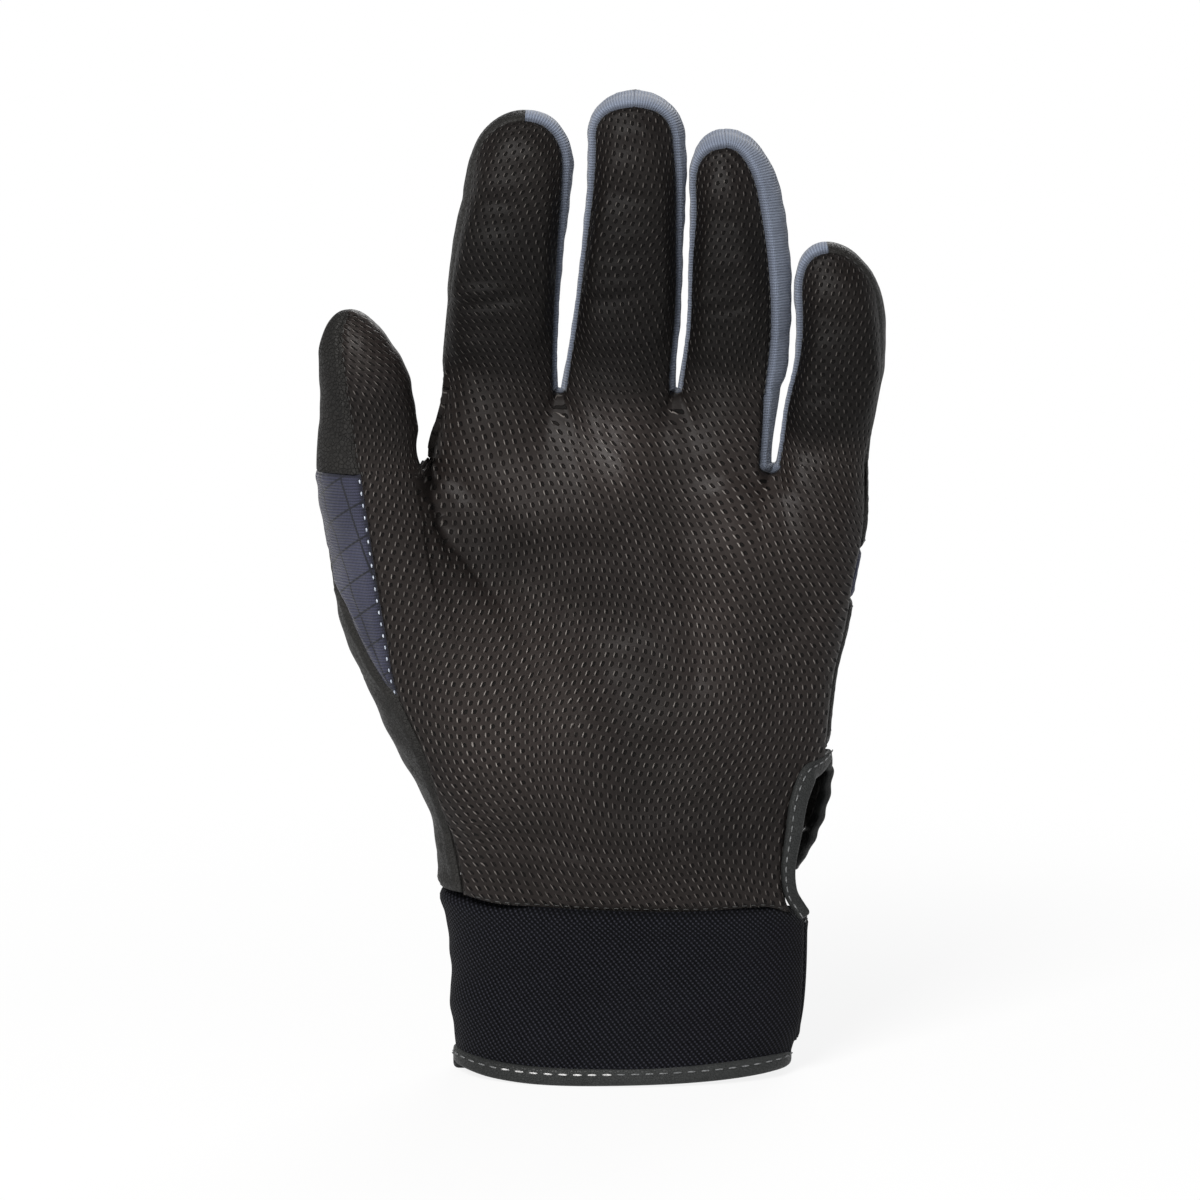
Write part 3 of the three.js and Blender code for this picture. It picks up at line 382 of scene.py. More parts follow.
class Hand:
    """The hand below the webs, as a loop at each height.

    The loop's place q runs 0 to 1 over the palm side from left to right, 1 to 2 over the right edge,
    2 to 3 over the back, and 3 to 4 over the left edge. -2 to 0 are 2 to 4 one turn earlier.
    Seams and outlines are tables of shares of the palm's width and of its length above the cuff.
    """

    LEFT = ((0, -0.3696), (0.1, -0.374), (0.2, -0.379), (0.3, -0.388), (0.5, -0.4), (0.7, -0.398),
            (0.85, -0.38), (1, -0.345))
    RIGHT = ((0, 0.4706), (0.1, 0.5), (0.2, 0.5234), (0.3, 0.526), (0.44, 0.5418), (0.53, 0.567),
             (0.63, 0.5854),
             (0.72, 0.606), (0.82, 0.6107), (1, 0.6))
    DEPTH = 17.0
    FRONT = ((0, 1), (0.1, 0.98), (0.3, 0.9), (0.5, 0.8), (0.7, 0.72), (0.85, 0.68), (1, 0.65))
    BACK = ((0, 1), (0.1, 0.94), (0.3, 0.83), (0.5, 0.77), (0.7, 0.71), (0.85, 0.66), (1, 0.63))
    CUFF_SEAM = ((-0.37, 0.028), (-0.324, 0.025), (-0.232, 0.01), (-0.094, 0.002), (0.09, -0.004),
                 (0.227, -0.005), (0.38, -0.003), (0.434, -0.018))
    CUFF_BACK_SEAM = ((-0.37, 0.028), (-0.25, 0.025), (0, 0.02), (0.3, 0.02), (0.434, 0.02))
    THUMB_SEAM = ((0.0, -0.318), (0.049, -0.3255), (0.156, -0.3535), (0.31, -0.4085), (0.42, -0.4637),
                  (0.5425, -0.489), (0.64, -0.5074), (0.756, -0.5257), (0.856, -0.542))
    THUMB_BACK_SEAM = ((0.03, -0.24), (0.3, -0.3), (0.55, -0.36), (0.66, -0.39), (0.856, -0.43))
    SLIT = ((0, 0.4385), (0.0214, 0.427), (0.0758, 0.4201), (0.148, 0.427), (0.2043, 0.4363),
            (0.2487, 0.4538), (0.2704, 0.468), (0.2843, 0.492), (0.29, 0.51))
    SLIT_BACK = ((0, 0.416), (0.052, 0.4435), (0.087, 0.468), (0.13, 0.491), (0.174, 0.506),
                 (0.217, 0.515), (0.282, 0.5215))
    WEB_LENGTH = 30.0
    WEB_STEP = (0.27, 0.37)
    STUMP_INSET = 1.0
    BLEND = 5.0
    FEET = (-32.6, 42.7)
    LOW_LEFT, LOW_SPAN = -52.8, 110.7

    @classmethod
    def palm(cls, x: Array, z: Array) -> Section:
        """The palm's own section, thinned towards the web above x.

        Args:
            x: places across, which tell the web above.
            z: heights.

        Returns:
            The section.
        """
        p = np.clip(palm_share(z), 0, 1)
        left, right = PALM_WIDTH * along(cls.LEFT, p), PALM_WIDTH * along(cls.RIGHT, p)
        thin = cls.DEPTH * np.sqrt(1 - (1 - cls.below_web(x, z)) ** 2)
        return Section((left + right) / 2, (right - left) / 2, along(cls.FRONT, p) * thin,
                       along(cls.BACK, p) * thin, np.zeros_like(thin), 2.6)

    @classmethod
    def below_web(cls, x: Array, z: Array) -> Array:
        """0 at the web above x to 1 at a web's length below it."""
        s = smooth(cls.WEB_STEP[0] * PALM_WIDTH, cls.WEB_STEP[1] * PALM_WIDTH, x)
        return np.clip((mix(WEB, LITTLE.root, s) - z) / cls.WEB_LENGTH, 0, 1)

    @classmethod
    def surface(cls, face: Face, x: Array, z: Array) -> Array:
        """y of the hand's outer surface, never thinner than its two walls.

        Args:
            face: the palm side or the back.
            x: places across.
            z: heights.

        Returns:
            The values of y.
        """
        x, z = np.broadcast_arrays(np.asarray(x, float), np.asarray(z, float))
        soft = cls.BLEND * np.clip(cls.below_web(x, z), 0.1, 1)
        total = []
        for side in Face:
            reach = cls.palm(x, z).reach(side, x)
            for digit in DIGITS:
                value = digit.section(z).reach(side, x)
                if digit is THUMB:
                    value = np.where(z > LOW_ROOT + 1e-6, -1e3, value)
                close = np.maximum(soft - np.abs(reach - value), 0)
                reach = np.maximum(reach, value) + close**2 / (4 * soft)
            total.append(reach)
        front, back = total
        missing = np.maximum(LEAST_THICKNESS - front - back, 0) / 2
        return -front - missing if face is Face.FRONT else back + missing

    @classmethod
    def edges(cls, z: Array) -> tuple[Array, Array]:
        """Left and right outline at height z, which step in above the low roots.

        Args:
            z: heights.

        Returns:
            x of the left and of the right outline.
        """
        z = np.asarray(z, float)
        low = z <= LOW_ROOT + 1e-6
        palm = cls.palm(np.zeros_like(z), z)
        ends = []
        for sign, digit_low, digit_high in ((-1, THUMB, INDEX), (1, LITTLE, RING)):
            a, b = digit_low.section(z), digit_high.section(z)
            outer = np.maximum(sign * a.centre + a.half, sign * palm.centre + palm.half)
            inset = cls.STUMP_INSET * np.clip((z - LOW_ROOT) / (WEB - LOW_ROOT), 0, 1) if sign < 0 else 0.0
            ends.append(sign * np.where(low, outer, sign * b.centre + b.half - inset))
        return ends[0], ends[1]

    @classmethod
    def q_of(cls, face: Face, x: Array, z: Array) -> Array:
        """Place on the loop of x on one face.

        Args:
            face: the palm side or the back.
            x: places across.
            z: heights.

        Returns:
            q, 0 to 1 in front and 2 to 3 behind.
        """
        left, right = cls.edges(z)
        share = np.clip((x - left) / (right - left), 0, 1)
        return share if face is Face.FRONT else 3 - share

    @classmethod
    def point(cls, q: Array, z: Array) -> Array:
        """Points of the loop.

        Args:
            q: places on the loop.
            z: heights, of the same shape or one that broadcasts.

        Returns:
            The points.
        """
        q, z = np.broadcast_arrays(np.asarray(q, float), np.asarray(z, float))
        left, right = cls.edges(z)
        k = np.mod(q, 4)
        share = np.select([k <= 1, k <= 2, k <= 3], [k, 1.0, 3 - k], 0.0)
        x = mix(left, right, share)
        over = np.select([k <= 1, k <= 2, k <= 3], [0.0, k - 1, 1.0], 4 - k)
        over = over * over * (3 - 2 * over)
        return np.stack([x, mix(cls.surface(Face.FRONT, x, z), cls.surface(Face.BACK, x, z), over), z], -1)

    @classmethod
    def columns(cls, z: Array, lines: Sequence[Array], shares: Sequence[Array]) -> Array:
        """Places on the loop, at given shares of the surface between neighbouring lines.

        Args:
            z: the rows' heights.
            lines: place on the loop of each line at each height, rising.
            shares: shares of the way from one line to the next, 0 and 1 among them.

        Returns:
            q on the (row, column) grid.
        """
        eased = (1 - np.cos(math.pi * np.linspace(0, 1, 241))) / 2
        first, last = math.floor(np.min(lines[0]) - 1e-6), math.ceil(np.max(lines[-1]) + 1e-6)
        dense = np.concatenate([eased[(1 if k > first else 0):] + k for k in range(first, last)])
        rows = []
        for i, run in enumerate(lengths(cls.point(dense[None, :], z[:, None]), 1, 1e-7)):
            at = [np.interp(line[i], dense, run) for line in lines]
            marks = [mix(at[k], at[k + 1], share[(1 if k else 0):]) for k, share in enumerate(shares)]
            rows.append(np.interp(np.concatenate(marks), run, dense))
        return np.array(rows)

    @classmethod
    def line(cls, low: float, top: float | None = None) -> Callable[[Array], Array]:
        """A line up the palm, as x at height z.

        Args:
            low: x where it passes the low roots.
            top: x at the webs, as low if it isn't given.

        Returns:
            The function of z.
        """
        foot = mix(*cls.FEET, (low - cls.LOW_LEFT) / cls.LOW_SPAN)
        places = ((0, foot), (0.42, mix(foot, low, 0.5)), (0.856, low), (1, low if top is None else top))
        return lambda z: along(places, palm_share(z))

    @classmethod
    def table(cls, stations: Stations) -> Callable[[Array], Array]:
        """A line up the palm from shares of its width at shares of its length."""
        return lambda z: PALM_WIDTH * along(stations, palm_share(z))


@dataclass
class Panel:
    """A closed shell over a grid of points, whose sewn edges roll in.

    Attributes:
        name: of the piece.
        points: the (row, column) grid of the surface, in mm.
        outward: a point inside for each grid point, or one direction, which tells outwards.
        wall: thickness.
        cells: which cells exist.
        open_edges: grid points whose edge isn't sewn, so it doesn't roll in.
        roll: how deep a sewn edge dips.
        roll_width: how far from the edge it does.
        lift: how far the panel stands off the surface, one value or one for each point.
        relief: extra height from the points.
        place: u and v of the weave on the surface, in mm.
        ease: share of the roll, one value or one for each point.
        fade: how far from a seam the relief is full.
        wear: painted highlights and painted shade on the leather at the points, from -1 to 1.
    """

    name: str
    points: Array
    outward: Array
    wall: float = LEATHER
    cells: Array | None = None
    open_edges: Array | None = None
    roll: float = 0.62
    roll_width: float = 0.8
    lift: Array | float = 0.0
    relief: Callable[[Array], Array] | None = None
    place: Array | None = None
    ease: Array | float = 1.0
    fade: float = 6.0
    wear: Callable[[Array], Array] | None = None
    outer: Array = field(init=False)
    normals: Array = field(init=False)
    seam: Array = field(init=False)

    def __post_init__(self) -> None:
        """Works out normals, distance to the seams and the outer surface."""
        rows, columns = self.points.shape[:2]
        if self.cells is None:
            self.cells = np.ones((rows - 1, columns - 1), bool)
        if self.open_edges is None:
            self.open_edges = np.zeros((rows, columns), bool)
        if self.place is None:
            self.place = self._measured()
        self.normals = self._normals(self.points)
        self.seam = self._seam_distance()
        height = self.lift + self._roll()
        if self.relief is not None:
            height = height + self.relief(self.points) * smooth(0.2, self.fade, self.seam)
        self.outer = self.points + self.normals * height[..., None]

    def _measured(self) -> Array:
        """u and v as lengths along the grid from its middle column and first row.

        Returns:
            u and v on the (row, column) grid.
        """
        columns = self.points.shape[1]
        u = lengths(self.points, 1)
        u = u - u[:, columns // 2][:, None]
        up = np.linalg.norm(np.diff(self.points, axis=0), axis=-1).mean(axis=1)
        v = np.concatenate([[0], np.cumsum(up)])[:, None] + np.zeros((1, columns))
        return np.stack([u, v], -1)

    def _normals(self, points: Array) -> Array:
        """Unit normals of the grid, pointing outwards; where it has no area, the hint itself.

        Args:
            points: the (row, column) grid.

        Returns:
            The normals.
        """
        across, up = np.gradient(points, axis=1), np.gradient(points, axis=0)
        normal = np.cross(across, up)
        length = np.linalg.norm(normal, axis=-1, keepdims=True)
        hint = self.outward if self.outward.ndim == 1 else points - self.outward
        plain = hint / np.maximum(np.linalg.norm(hint, axis=-1, keepdims=True), 1e-9)
        normal = np.where(length > 1e-7, normal / np.maximum(length, 1e-12), plain)
        return normal if (normal * hint).sum(-1).mean() > 0 else -normal

    def _used(self) -> Array:
        """How many existing cells touch each grid point, of its four.

        Returns:
            The counts, 0 to 4.
        """
        rows, columns = self.points.shape[:2]
        padded = np.zeros((rows + 1, columns + 1), int)
        padded[1:-1, 1:-1] = self.cells
        return padded[:-1, :-1] + padded[1:, :-1] + padded[:-1, 1:] + padded[1:, 1:]

    def _seam_distance(self) -> Array:
        """Distance of every grid point to the nearest sewn edge.

        Returns:
            The distances, in mm.
        """
        used = self._used()
        sewn = (used > 0) & (used < 4) & ~self.open_edges
        tree = search_tree(self.points[sewn])
        return np.array([tree.find(p)[2] for p in self.points.reshape(-1, 3)]).reshape(sewn.shape)

    def _roll(self) -> Array:
        """Dip at a sewn edge, with the small swell and puckers beside the stitches.

        Returns:
            The height that it adds, in mm.
        """
        d = self.seam
        run = self.place[..., 0] + self.place[..., 1]
        pucker = 0.07 * np.sin(run * 2.3) + 0.04 * np.sin(run * 3.7 + 1)
        swell = 0.2 * hump(d - 2 * self.roll_width - 0.3, self.roll_width * 1.3)
        return self.ease * (-self.roll * hump(d, self.roll_width) + swell + pucker * hump(d - 0.9, 1.1))

    def weld(self, targets: Array, reach: float = 7.0) -> None:
        """Bends the first rows so that the first one lies on given places, where they are near.

        Args:
            targets: places on the neighbouring pieces.
            reach: how far up the panel the bend runs out.
        """
        tree = search_tree(targets)
        shift = np.array([np.array(tree.find(place)[0]) - place for place in self.outer[0]])
        size = np.linalg.norm(shift, axis=1, keepdims=True)
        shift = shift * (size < 1.5)
        run = np.linalg.norm(self.points - self.points[:1], axis=-1)
        self.outer = self.outer + shift[None] * (1 - smooth(0, reach, run))[..., None]

    def mesh(self) -> bpy.types.Object:
        """The closed shell as an object at the origin.

        Returns:
            The object.
        """
        used = self._used() > 0
        number = np.full(used.shape, -1)
        number[used] = np.arange(used.sum())
        count = int(used.sum())
        inner = self.points - self.normals * (self.wall - np.asarray(self.lift))[..., None]
        keep = np.minimum(((self.outer - inner) * self.normals).sum(-1) - 0.25, 0)
        inner = inner + self.normals * keep[..., None]
        layers = np.concatenate([self.outer[used], inner[used]])
        a, b, c, d = number[:-1, :-1], number[:-1, 1:], number[1:, 1:], number[1:, :-1]
        here = self.cells
        quads = np.stack([a, b, c, d], -1)[here]
        faces = [quads, quads[:, ::-1] + count]
        ring = np.zeros((here.shape[0] + 2, here.shape[1] + 2), bool)
        ring[1:-1, 1:-1] = here
        for other, p, q in ((ring[1:-1, :-2], d, a), (ring[1:-1, 2:], b, c),
                            (ring[:-2, 1:-1], a, b), (ring[2:, 1:-1], c, d)):
            lone = here & ~other
            faces.append(np.stack([q[lone], p[lone], p[lone] + count, q[lone] + count], -1))
        faces = np.concatenate(faces)
        first = layers[faces[0]]
        row, column = np.argwhere(here)[0]
        if np.dot(np.cross(first[1] - first[0], first[2] - first[0]), self.normals[row, column]) < 0:
            faces = faces[:, ::-1]
        place = np.concatenate([self.place[used]] * 2)
        seam = np.concatenate([self.seam[used]] * 2)
        wear = None if self.wear is None else np.tile(self.wear(self.points)[used], 2)
        return shell(self.name, layers, faces, np.column_stack([place, np.minimum(seam, 20)]), wear)


def shell(name: str, points: Array, faces: Sequence, weave: Array,
          wear: Array | None = None) -> bpy.types.Object:
    """A smooth mesh object in the row's frame.

    Args:
        name: of the object.
        points: places in mm, in the part's own frame.
        faces: corner numbers.
        weave: u, v and distance to the seam for each point, in mm.
        wear: painted light and shade at each point, from -1 (shade) to 1 (light).

    Returns:
        The linked object, at the origin.
    """
    mesh = bpy.data.meshes.new(name)
    mesh.from_pydata(((points + ROW_SHIFT) / 1000).tolist(), [], [list(face) for face in faces])
    mesh.polygons.foreach_set("use_smooth", [True] * len(mesh.polygons))
    data = mesh.attributes.new("weave", "FLOAT_VECTOR", "POINT")
    data.data.foreach_set("vector", np.asarray(weave, np.float32).ravel())
    if wear is not None:
        data = mesh.attributes.new("wear", "FLOAT", "POINT")
        data.data.foreach_set("value", np.asarray(wear, np.float32))
    mesh.validate()
    mesh.update()
    mesh.set_sharp_from_angle(angle=math.radians(62))
    made = bpy.data.objects.new(name, mesh)
    bpy.context.scene.collection.objects.link(made)
    return made


class Signal:
    """A shader socket that takes part in arithmetic: each operator adds its Math node."""

    def __init__(self, bench: "Bench", socket: bpy.types.NodeSocket) -> None:
        """Keeps the socket and the tree it is in."""
        self.bench, self.socket = bench, socket

    def _math(self, operation: str, *others: "Signal | float", swap: bool = False) -> "Signal":
        """One Math node over this value and others.

        Args:
            operation: of the node.
            others: the other values.
            swap: whether this value comes last.

        Returns:
            The node's result.
        """
        values = [self, *others]
        if swap:
            values.reverse()
        return self.bench.add("ShaderNodeMath", {"operation": operation}, dict(enumerate(values)))

    def __add__(self, other: "Signal | float") -> "Signal":
        """self + other."""
        return self._math("ADD", other)

    __radd__ = __add__

    def __sub__(self, other: "Signal | float") -> "Signal":
        """self - other."""
        return self._math("SUBTRACT", other)

    def __rsub__(self, other: "Signal | float") -> "Signal":
        """other - self."""
        return self._math("SUBTRACT", other, swap=True)

    def __mul__(self, other: "Signal | float") -> "Signal":
        """self * other."""
        return self._math("MULTIPLY", other)

    __rmul__ = __mul__

    def __truediv__(self, other: "Signal | float") -> "Signal":
        """self / other."""
        return self._math("DIVIDE", other)

    def __rtruediv__(self, other: "Signal | float") -> "Signal":
        """other / self."""
        return self._math("DIVIDE", other, swap=True)

    def sin(self) -> "Signal":
        """Sine."""
        return self._math("SINE")

    def floor(self) -> "Signal":
        """Whole part."""
        return self._math("FLOOR")

    def wrap(self) -> "Signal":
        """Part after the whole part."""
        return self._math("FRACT")

    def size(self) -> "Signal":
        """Absolute value."""
        return self._math("ABSOLUTE")

    def power(self, other: float) -> "Signal":
        """self to a power."""
        return self._math("POWER", other)

    def upper(self, other: "Signal | float") -> "Signal":
        """The larger of two."""
        return self._math("MAXIMUM", other)

    def ramp(self, low: float, high: float, to_low: float = 0.0, to_high: float = 1.0) -> "Signal":
        """Smooth step from to_low at low to to_high at high.

        Args:
            low: value where the step starts.
            high: value where it ends.
            to_low: result below.
            to_high: result above.

        Returns:
            The result.
        """
        return self.bench.add("ShaderNodeMapRange", {"interpolation_type": "SMOOTHSTEP"},
                              {"Value": self, "From Min": low, "From Max": high, "To Min": to_low,
                                "To Max": to_high})


class Bench:
    """A material under construction."""

    def __init__(self, name: str) -> None:
        """Starts an empty material of that name.

        Args:
            name: of the material.
        """
        self.material = bpy.data.materials.new(name)
        self.material.use_nodes = True
        self.tree = self.material.node_tree
        self.tree.nodes.clear()

    def add(self, kind: str, settings: dict | None = None, sockets: dict | None = None,
            out: int | str = 0) -> Signal:
        """Adds one node.

        Args:
            kind: the node's type.
            settings: its properties, set before the sockets.
            sockets: values or links of its inputs, by name or number.
            out: which output comes back.

        Returns:
            That output.
        """
        node = self.tree.nodes.new(kind)
        for key, value in (settings or {}).items():
            setattr(node, key, value)
        for key, value in (sockets or {}).items():
            if isinstance(value, Signal):
                self.tree.links.new(value.socket, node.inputs[key])
            else:
                node.inputs[key].default_value = value
        return Signal(self, node.outputs[out])

    def weave(self) -> tuple[Signal, Signal, Signal]:
        """u and v on the cloth, and the distance to its seam, in mm.

        Returns:
            The three values, as the piece carries them.
        """
        source = self.add("ShaderNodeAttribute", {"attribute_name": "weave"}, out="Vector")
        parts = self.tree.nodes.new("ShaderNodeSeparateXYZ")
        self.tree.links.new(source.socket, parts.inputs[0])
        return tuple(Signal(self, parts.outputs[k]) for k in range(3))

    def noise(self, scale: float, detail: float = 3.0, rough: float = 0.55) -> Signal:
        """Noise over the object's own place, scale per metre.

        Args:
            scale: of the noise.
            detail: its finer layers.
            rough: their share.

        Returns:
            The noise, from 0 to 1.
        """
        place = self.add("ShaderNodeTexCoord", out="Object")
        return self.add("ShaderNodeTexNoise", {"noise_dimensions": "3D"},
                        {"Vector": place, "Scale": scale, "Detail": detail, "Roughness": rough})

    def grain(self, scale: float) -> Signal:
        """Distance to the nearest crack of a pebbled grain.

        Args:
            scale: pebbles per metre.

        Returns:
            The distance.
        """
        place = self.add("ShaderNodeTexCoord", out="Object")
        return self.add("ShaderNodeTexVoronoi", {"feature": "DISTANCE_TO_EDGE"},
                        {"Vector": place, "Scale": scale})

    def blend(self, share: Signal | float, a: Signal | Sequence[float],
              b: Signal | Sequence[float]) -> Signal:
        """Colour a share of the way from a to b."""
        rgba = [c if isinstance(c, Signal) else (*c, 1) for c in (a, b)]
        return self.add("ShaderNodeMix", {"data_type": "RGBA"}, {0: share, 6: rgba[0], 7: rgba[1]}, out=2)

    def bump(self, height: Signal, depth: float, before: Signal | None = None) -> Signal:
        """Normal of a height map, depth in metres, on top of an earlier bump.

        Args:
            height: the height map.
            depth: of its full range, in metres.
            before: the earlier bump.

        Returns:
            The normal.
        """
        sockets: dict = {"Height": height, "Distance": depth, "Strength": 1.0}
        if before is not None:
            sockets["Normal"] = before
        return self.add("ShaderNodeBump", None, sockets)

    def finish(self, **sockets: Signal | float | Sequence[float]) -> bpy.types.Material:
        """Adds the surface shader and the output, socket names with _ for spaces.

        Args:
            sockets: values or links of the shader, by name.

        Returns:
            The material.
        """
        shader = self.add("ShaderNodeBsdfPrincipled", None,
                          {k.replace("_", " "): v for k, v in sockets.items()})
        output = self.tree.nodes.new("ShaderNodeOutputMaterial")
        self.tree.links.new(shader.socket, output.inputs["Surface"])
        return self.material


@dataclass(frozen=True)
class EmbossedLeather:
    """Palm leather pressed all over with a lattice of pits and short upright dashes, with painted shade in
    the pits and a painted highlight on the dash beside each pit.
    """

    name: str = "embossed_leather"
    pitch: float = 1.92
    ground: Colour = (0.0125, 0.0100, 0.0092)
    # The pit colour is painted shade, the dash colour a painted highlight beside it.
    pit: Colour = (0.0012, 0.0010, 0.0009)
    lit_dash: Colour = (0.235, 0.214, 0.200)

    def make(self) -> bpy.types.Material:
        """The material.

        Returns:
            The material.
        """
        bench = Bench(self.name)
        u, v, seam = bench.weave()
        wide = bench.noise(42, 2)
        a = u + (v * 0.115 + (u * 0.05).sin() * 1.4).sin() * 1.3 + (wide - 0.5) * 2.6
        b = v + (u * 0.13 + (v * 0.045).sin() * 1.6).sin() * 1.7 + (wide - 0.5) * 2.0
        row = (b / self.pitch).floor()
        across = (a / self.pitch + row * 0.5).wrap() - 0.5
        up = (b / self.pitch).wrap() - 0.5
        lean = across + up * 0.22 + (a * 0.031 + b * 0.052).sin() * up * 0.5
        pit_reach = ((lean - 0.08) / 0.17).power(2) + (up / 0.28).power(2)
        dash_reach = ((lean + 0.2) / 0.078).power(2) + ((up - 0.04) / 0.34).power(2)
        pit = pit_reach.ramp(0.35, 1.35, 1, 0)
        lit_dash = dash_reach.ramp(0.3, 1.3, 1, 0)
        cell = bench.add("ShaderNodeTexWhiteNoise", {"noise_dimensions": "2D"}, {
            "Vector": bench.add("ShaderNodeCombineXYZ", None,
                                {0: (a / self.pitch + row * 0.5).floor(), 1: row})})
        fine = bench.noise(2600, 4)
        broad = bench.noise(24, 3)
        # This attribute carries painted light and shade: it lightens the ground and dashes on the pads and
        # darkens them in the hollows and over the finger roots, mixed with a random tone.
        wear = bench.add("ShaderNodeAttribute", {"attribute_name": "wear"}, out="Fac")
        shading_and_tone = wear.ramp(-1.0, 1.0) + (broad - 0.5) * 0.25
        ground = bench.blend(shading_and_tone, [c * 0.28 for c in self.ground], [c * 1.95 for c in self.ground])
        # Painted shade darkens each pit and a painted highlight lights the dash beside it.
        colour = bench.blend(pit * (cell * 0.3 + 0.65), ground, self.pit)
        colour = bench.blend(lit_dash * (cell * 0.55 + 0.3) * (shading_and_tone * 0.95 + 0.32), colour, self.lit_dash)
        worn = seam.ramp(0.2, 1.5, 0.45, 0)
        colour = bench.blend(worn, colour, (0.010, 0.009, 0.0085))
        first = bench.bump(fine, 0.00005)
        second = bench.bump(lit_dash * 0.5 - pit, 0.0004, first)
        rough = 0.58 - shading_and_tone * 0.16 + pit * 0.25 + (fine - 0.5) * 0.2 - lit_dash * 0.08
        return bench.finish(Base_Color=colour, Roughness=rough, Normal=second, Specular_IOR_Level=0.14)


@dataclass(frozen=True)
class GrainedLeather:
    """Fine-grained synthetic leather, used on the backs, the thumb's cap and the bindings."""

    name: str = "grained_leather"
    ground: Colour = (0.0085, 0.0082, 0.0078)
    light: Colour = (0.0190, 0.0185, 0.0175)
    grain: float = 1150
    depth: float = 0.00010
    rough: float = 0.46

    def make(self) -> bpy.types.Material:
        """The material.

        Returns:
            The material.
        """
        bench = Bench(self.name)
        seam = bench.weave()[2]
        cracks = bench.grain(self.grain).ramp(0.0, 0.16)
        fine = bench.noise(3200, 3)
        broad = bench.noise(30, 3)
        creases = bench.noise(140, 4).ramp(0.42, 0.58)
        colour = bench.blend(broad.ramp(0.3, 0.75) * 0.7 + cracks * 0.3, self.ground, self.light)
        worn = seam.ramp(0.6, 2.2, 0.5, 0) * fine.ramp(0.4, 0.6)
        colour = bench.blend(worn, colour, [c * 1.8 for c in self.light])
        first = bench.bump(cracks + fine * 0.4, self.depth)
        second = bench.bump(creases, 0.00018, first)
        rough = self.rough + (1 - cracks) * 0.2 + (broad - 0.5) * 0.16
        return bench.finish(Base_Color=colour, Roughness=rough, Normal=second, Specular_IOR_Level=0.15)


@dataclass(frozen=True)
class RibbedKnit:
    """Ribbed elastic cloth, lighter on the ribs than between them."""

    name: str = "ribbed_knit"
    rib: float = 0.62
    upright: bool = False
    light: Colour = (0.250, 0.290, 0.375)
    shade: Colour = (0.085, 0.100, 0.140)
    printed: bool = False

    def make(self) -> bpy.types.Material:
        """The material.

        Returns:
            The material.
        """
        bench = Bench(self.name)
        u, v, seam = bench.weave()
        across, run = (u, v) if self.upright else (v, u)
        drift = (bench.noise(160, 2) - 0.5) * 0.5
        ribs = ((across + drift) * (2 * math.pi / self.rib)).sin() * 0.5 + 0.5
        loops = (run * (2 * math.pi / (self.rib * 0.75)) + ribs * 1.4).sin() * 0.5 + 0.5
        broad = bench.noise(70, 3).ramp(0.3, 0.7)
        colour = bench.blend(ribs * 0.55 + loops * 0.2 + broad * 0.25, self.shade, self.light)
        colour = bench.blend(seam.ramp(0.1, 1.4, 0.75, 0), colour, [c * 0.3 for c in self.shade])
        if self.printed:
            colour = bench.blend(self._lines(bench, u, v), colour, (0.006, 0.007, 0.012))
        normal = bench.bump(loops * 0.4 + ribs, 0.00013, bench.bump(bench.noise(3500, 2), 0.00004))
        return bench.finish(Base_Color=colour, Roughness=0.72 + ribs * 0.1, Normal=normal,
                            Sheen_Weight=0.25, Sheen_Roughness=0.45, Specular_IOR_Level=0.3)

    @staticmethod
    def _lines(bench: Bench, u: Signal, v: Signal) -> Signal:
        """A plain thin check of crossing lines, 1 where a line is.

        Args:
            bench: the material.
            u: place across the cloth, in mm.
            v: place up the cloth, in mm.

        Returns:
            The mask.
        """
        lines: Signal | None = None
        for along_u, along_v, pitch in ((0.94, 0.34, 8.5), (-0.42, 0.91, 7.2)):
            t = ((u * along_u + v * along_v) / pitch).wrap() - 0.5
            line = t.size().ramp(0.02, 0.045, 1, 0)
            lines = line if lines is None else lines.upper(line)
        return lines


@dataclass(frozen=True)
class FoamCloth:
    """Tight twill laminated on foam."""

    name: str = "foam_cloth"
    pitch: float = 1.0
    ground: Colour = (0.0002, 0.0003, 0.0008)
    light: Colour = (0.0420, 0.0430, 0.0560)

    def make(self) -> bpy.types.Material:
        """The material.

        Returns:
            The material.
        """
        bench = Bench(self.name)
        u, v, seam = bench.weave()
        turn = 2 * math.pi / self.pitch
        twill = ((u * 0.82 + v * 0.57) * turn).sin() * 0.5 + 0.5
        cross = ((u * 0.57 - v * 0.82) * (turn * 1.35)).sin() * 0.5 + 0.5
        fuzz = bench.noise(2400, 4)
        broad = bench.noise(26, 3).ramp(0.3, 0.7)
        thread = twill * 0.6 + cross * 0.4
        glint = thread.power(4) * 0.75 + fuzz.ramp(0.4, 0.7) * 0.08 + broad * 0.03
        colour = bench.blend(glint, self.ground, self.light)
        colour = bench.blend(seam.ramp(0.2, 1.8, 0.5, 0), colour, [c * 0.6 for c in self.ground])
        normal = bench.bump(thread, 0.0002, bench.bump(fuzz, 0.00005))
        return bench.finish(Base_Color=colour, Roughness=0.86 + fuzz * 0.1, Normal=normal,
                            Sheen_Weight=0.02, Sheen_Roughness=0.5, Specular_IOR_Level=0.08)


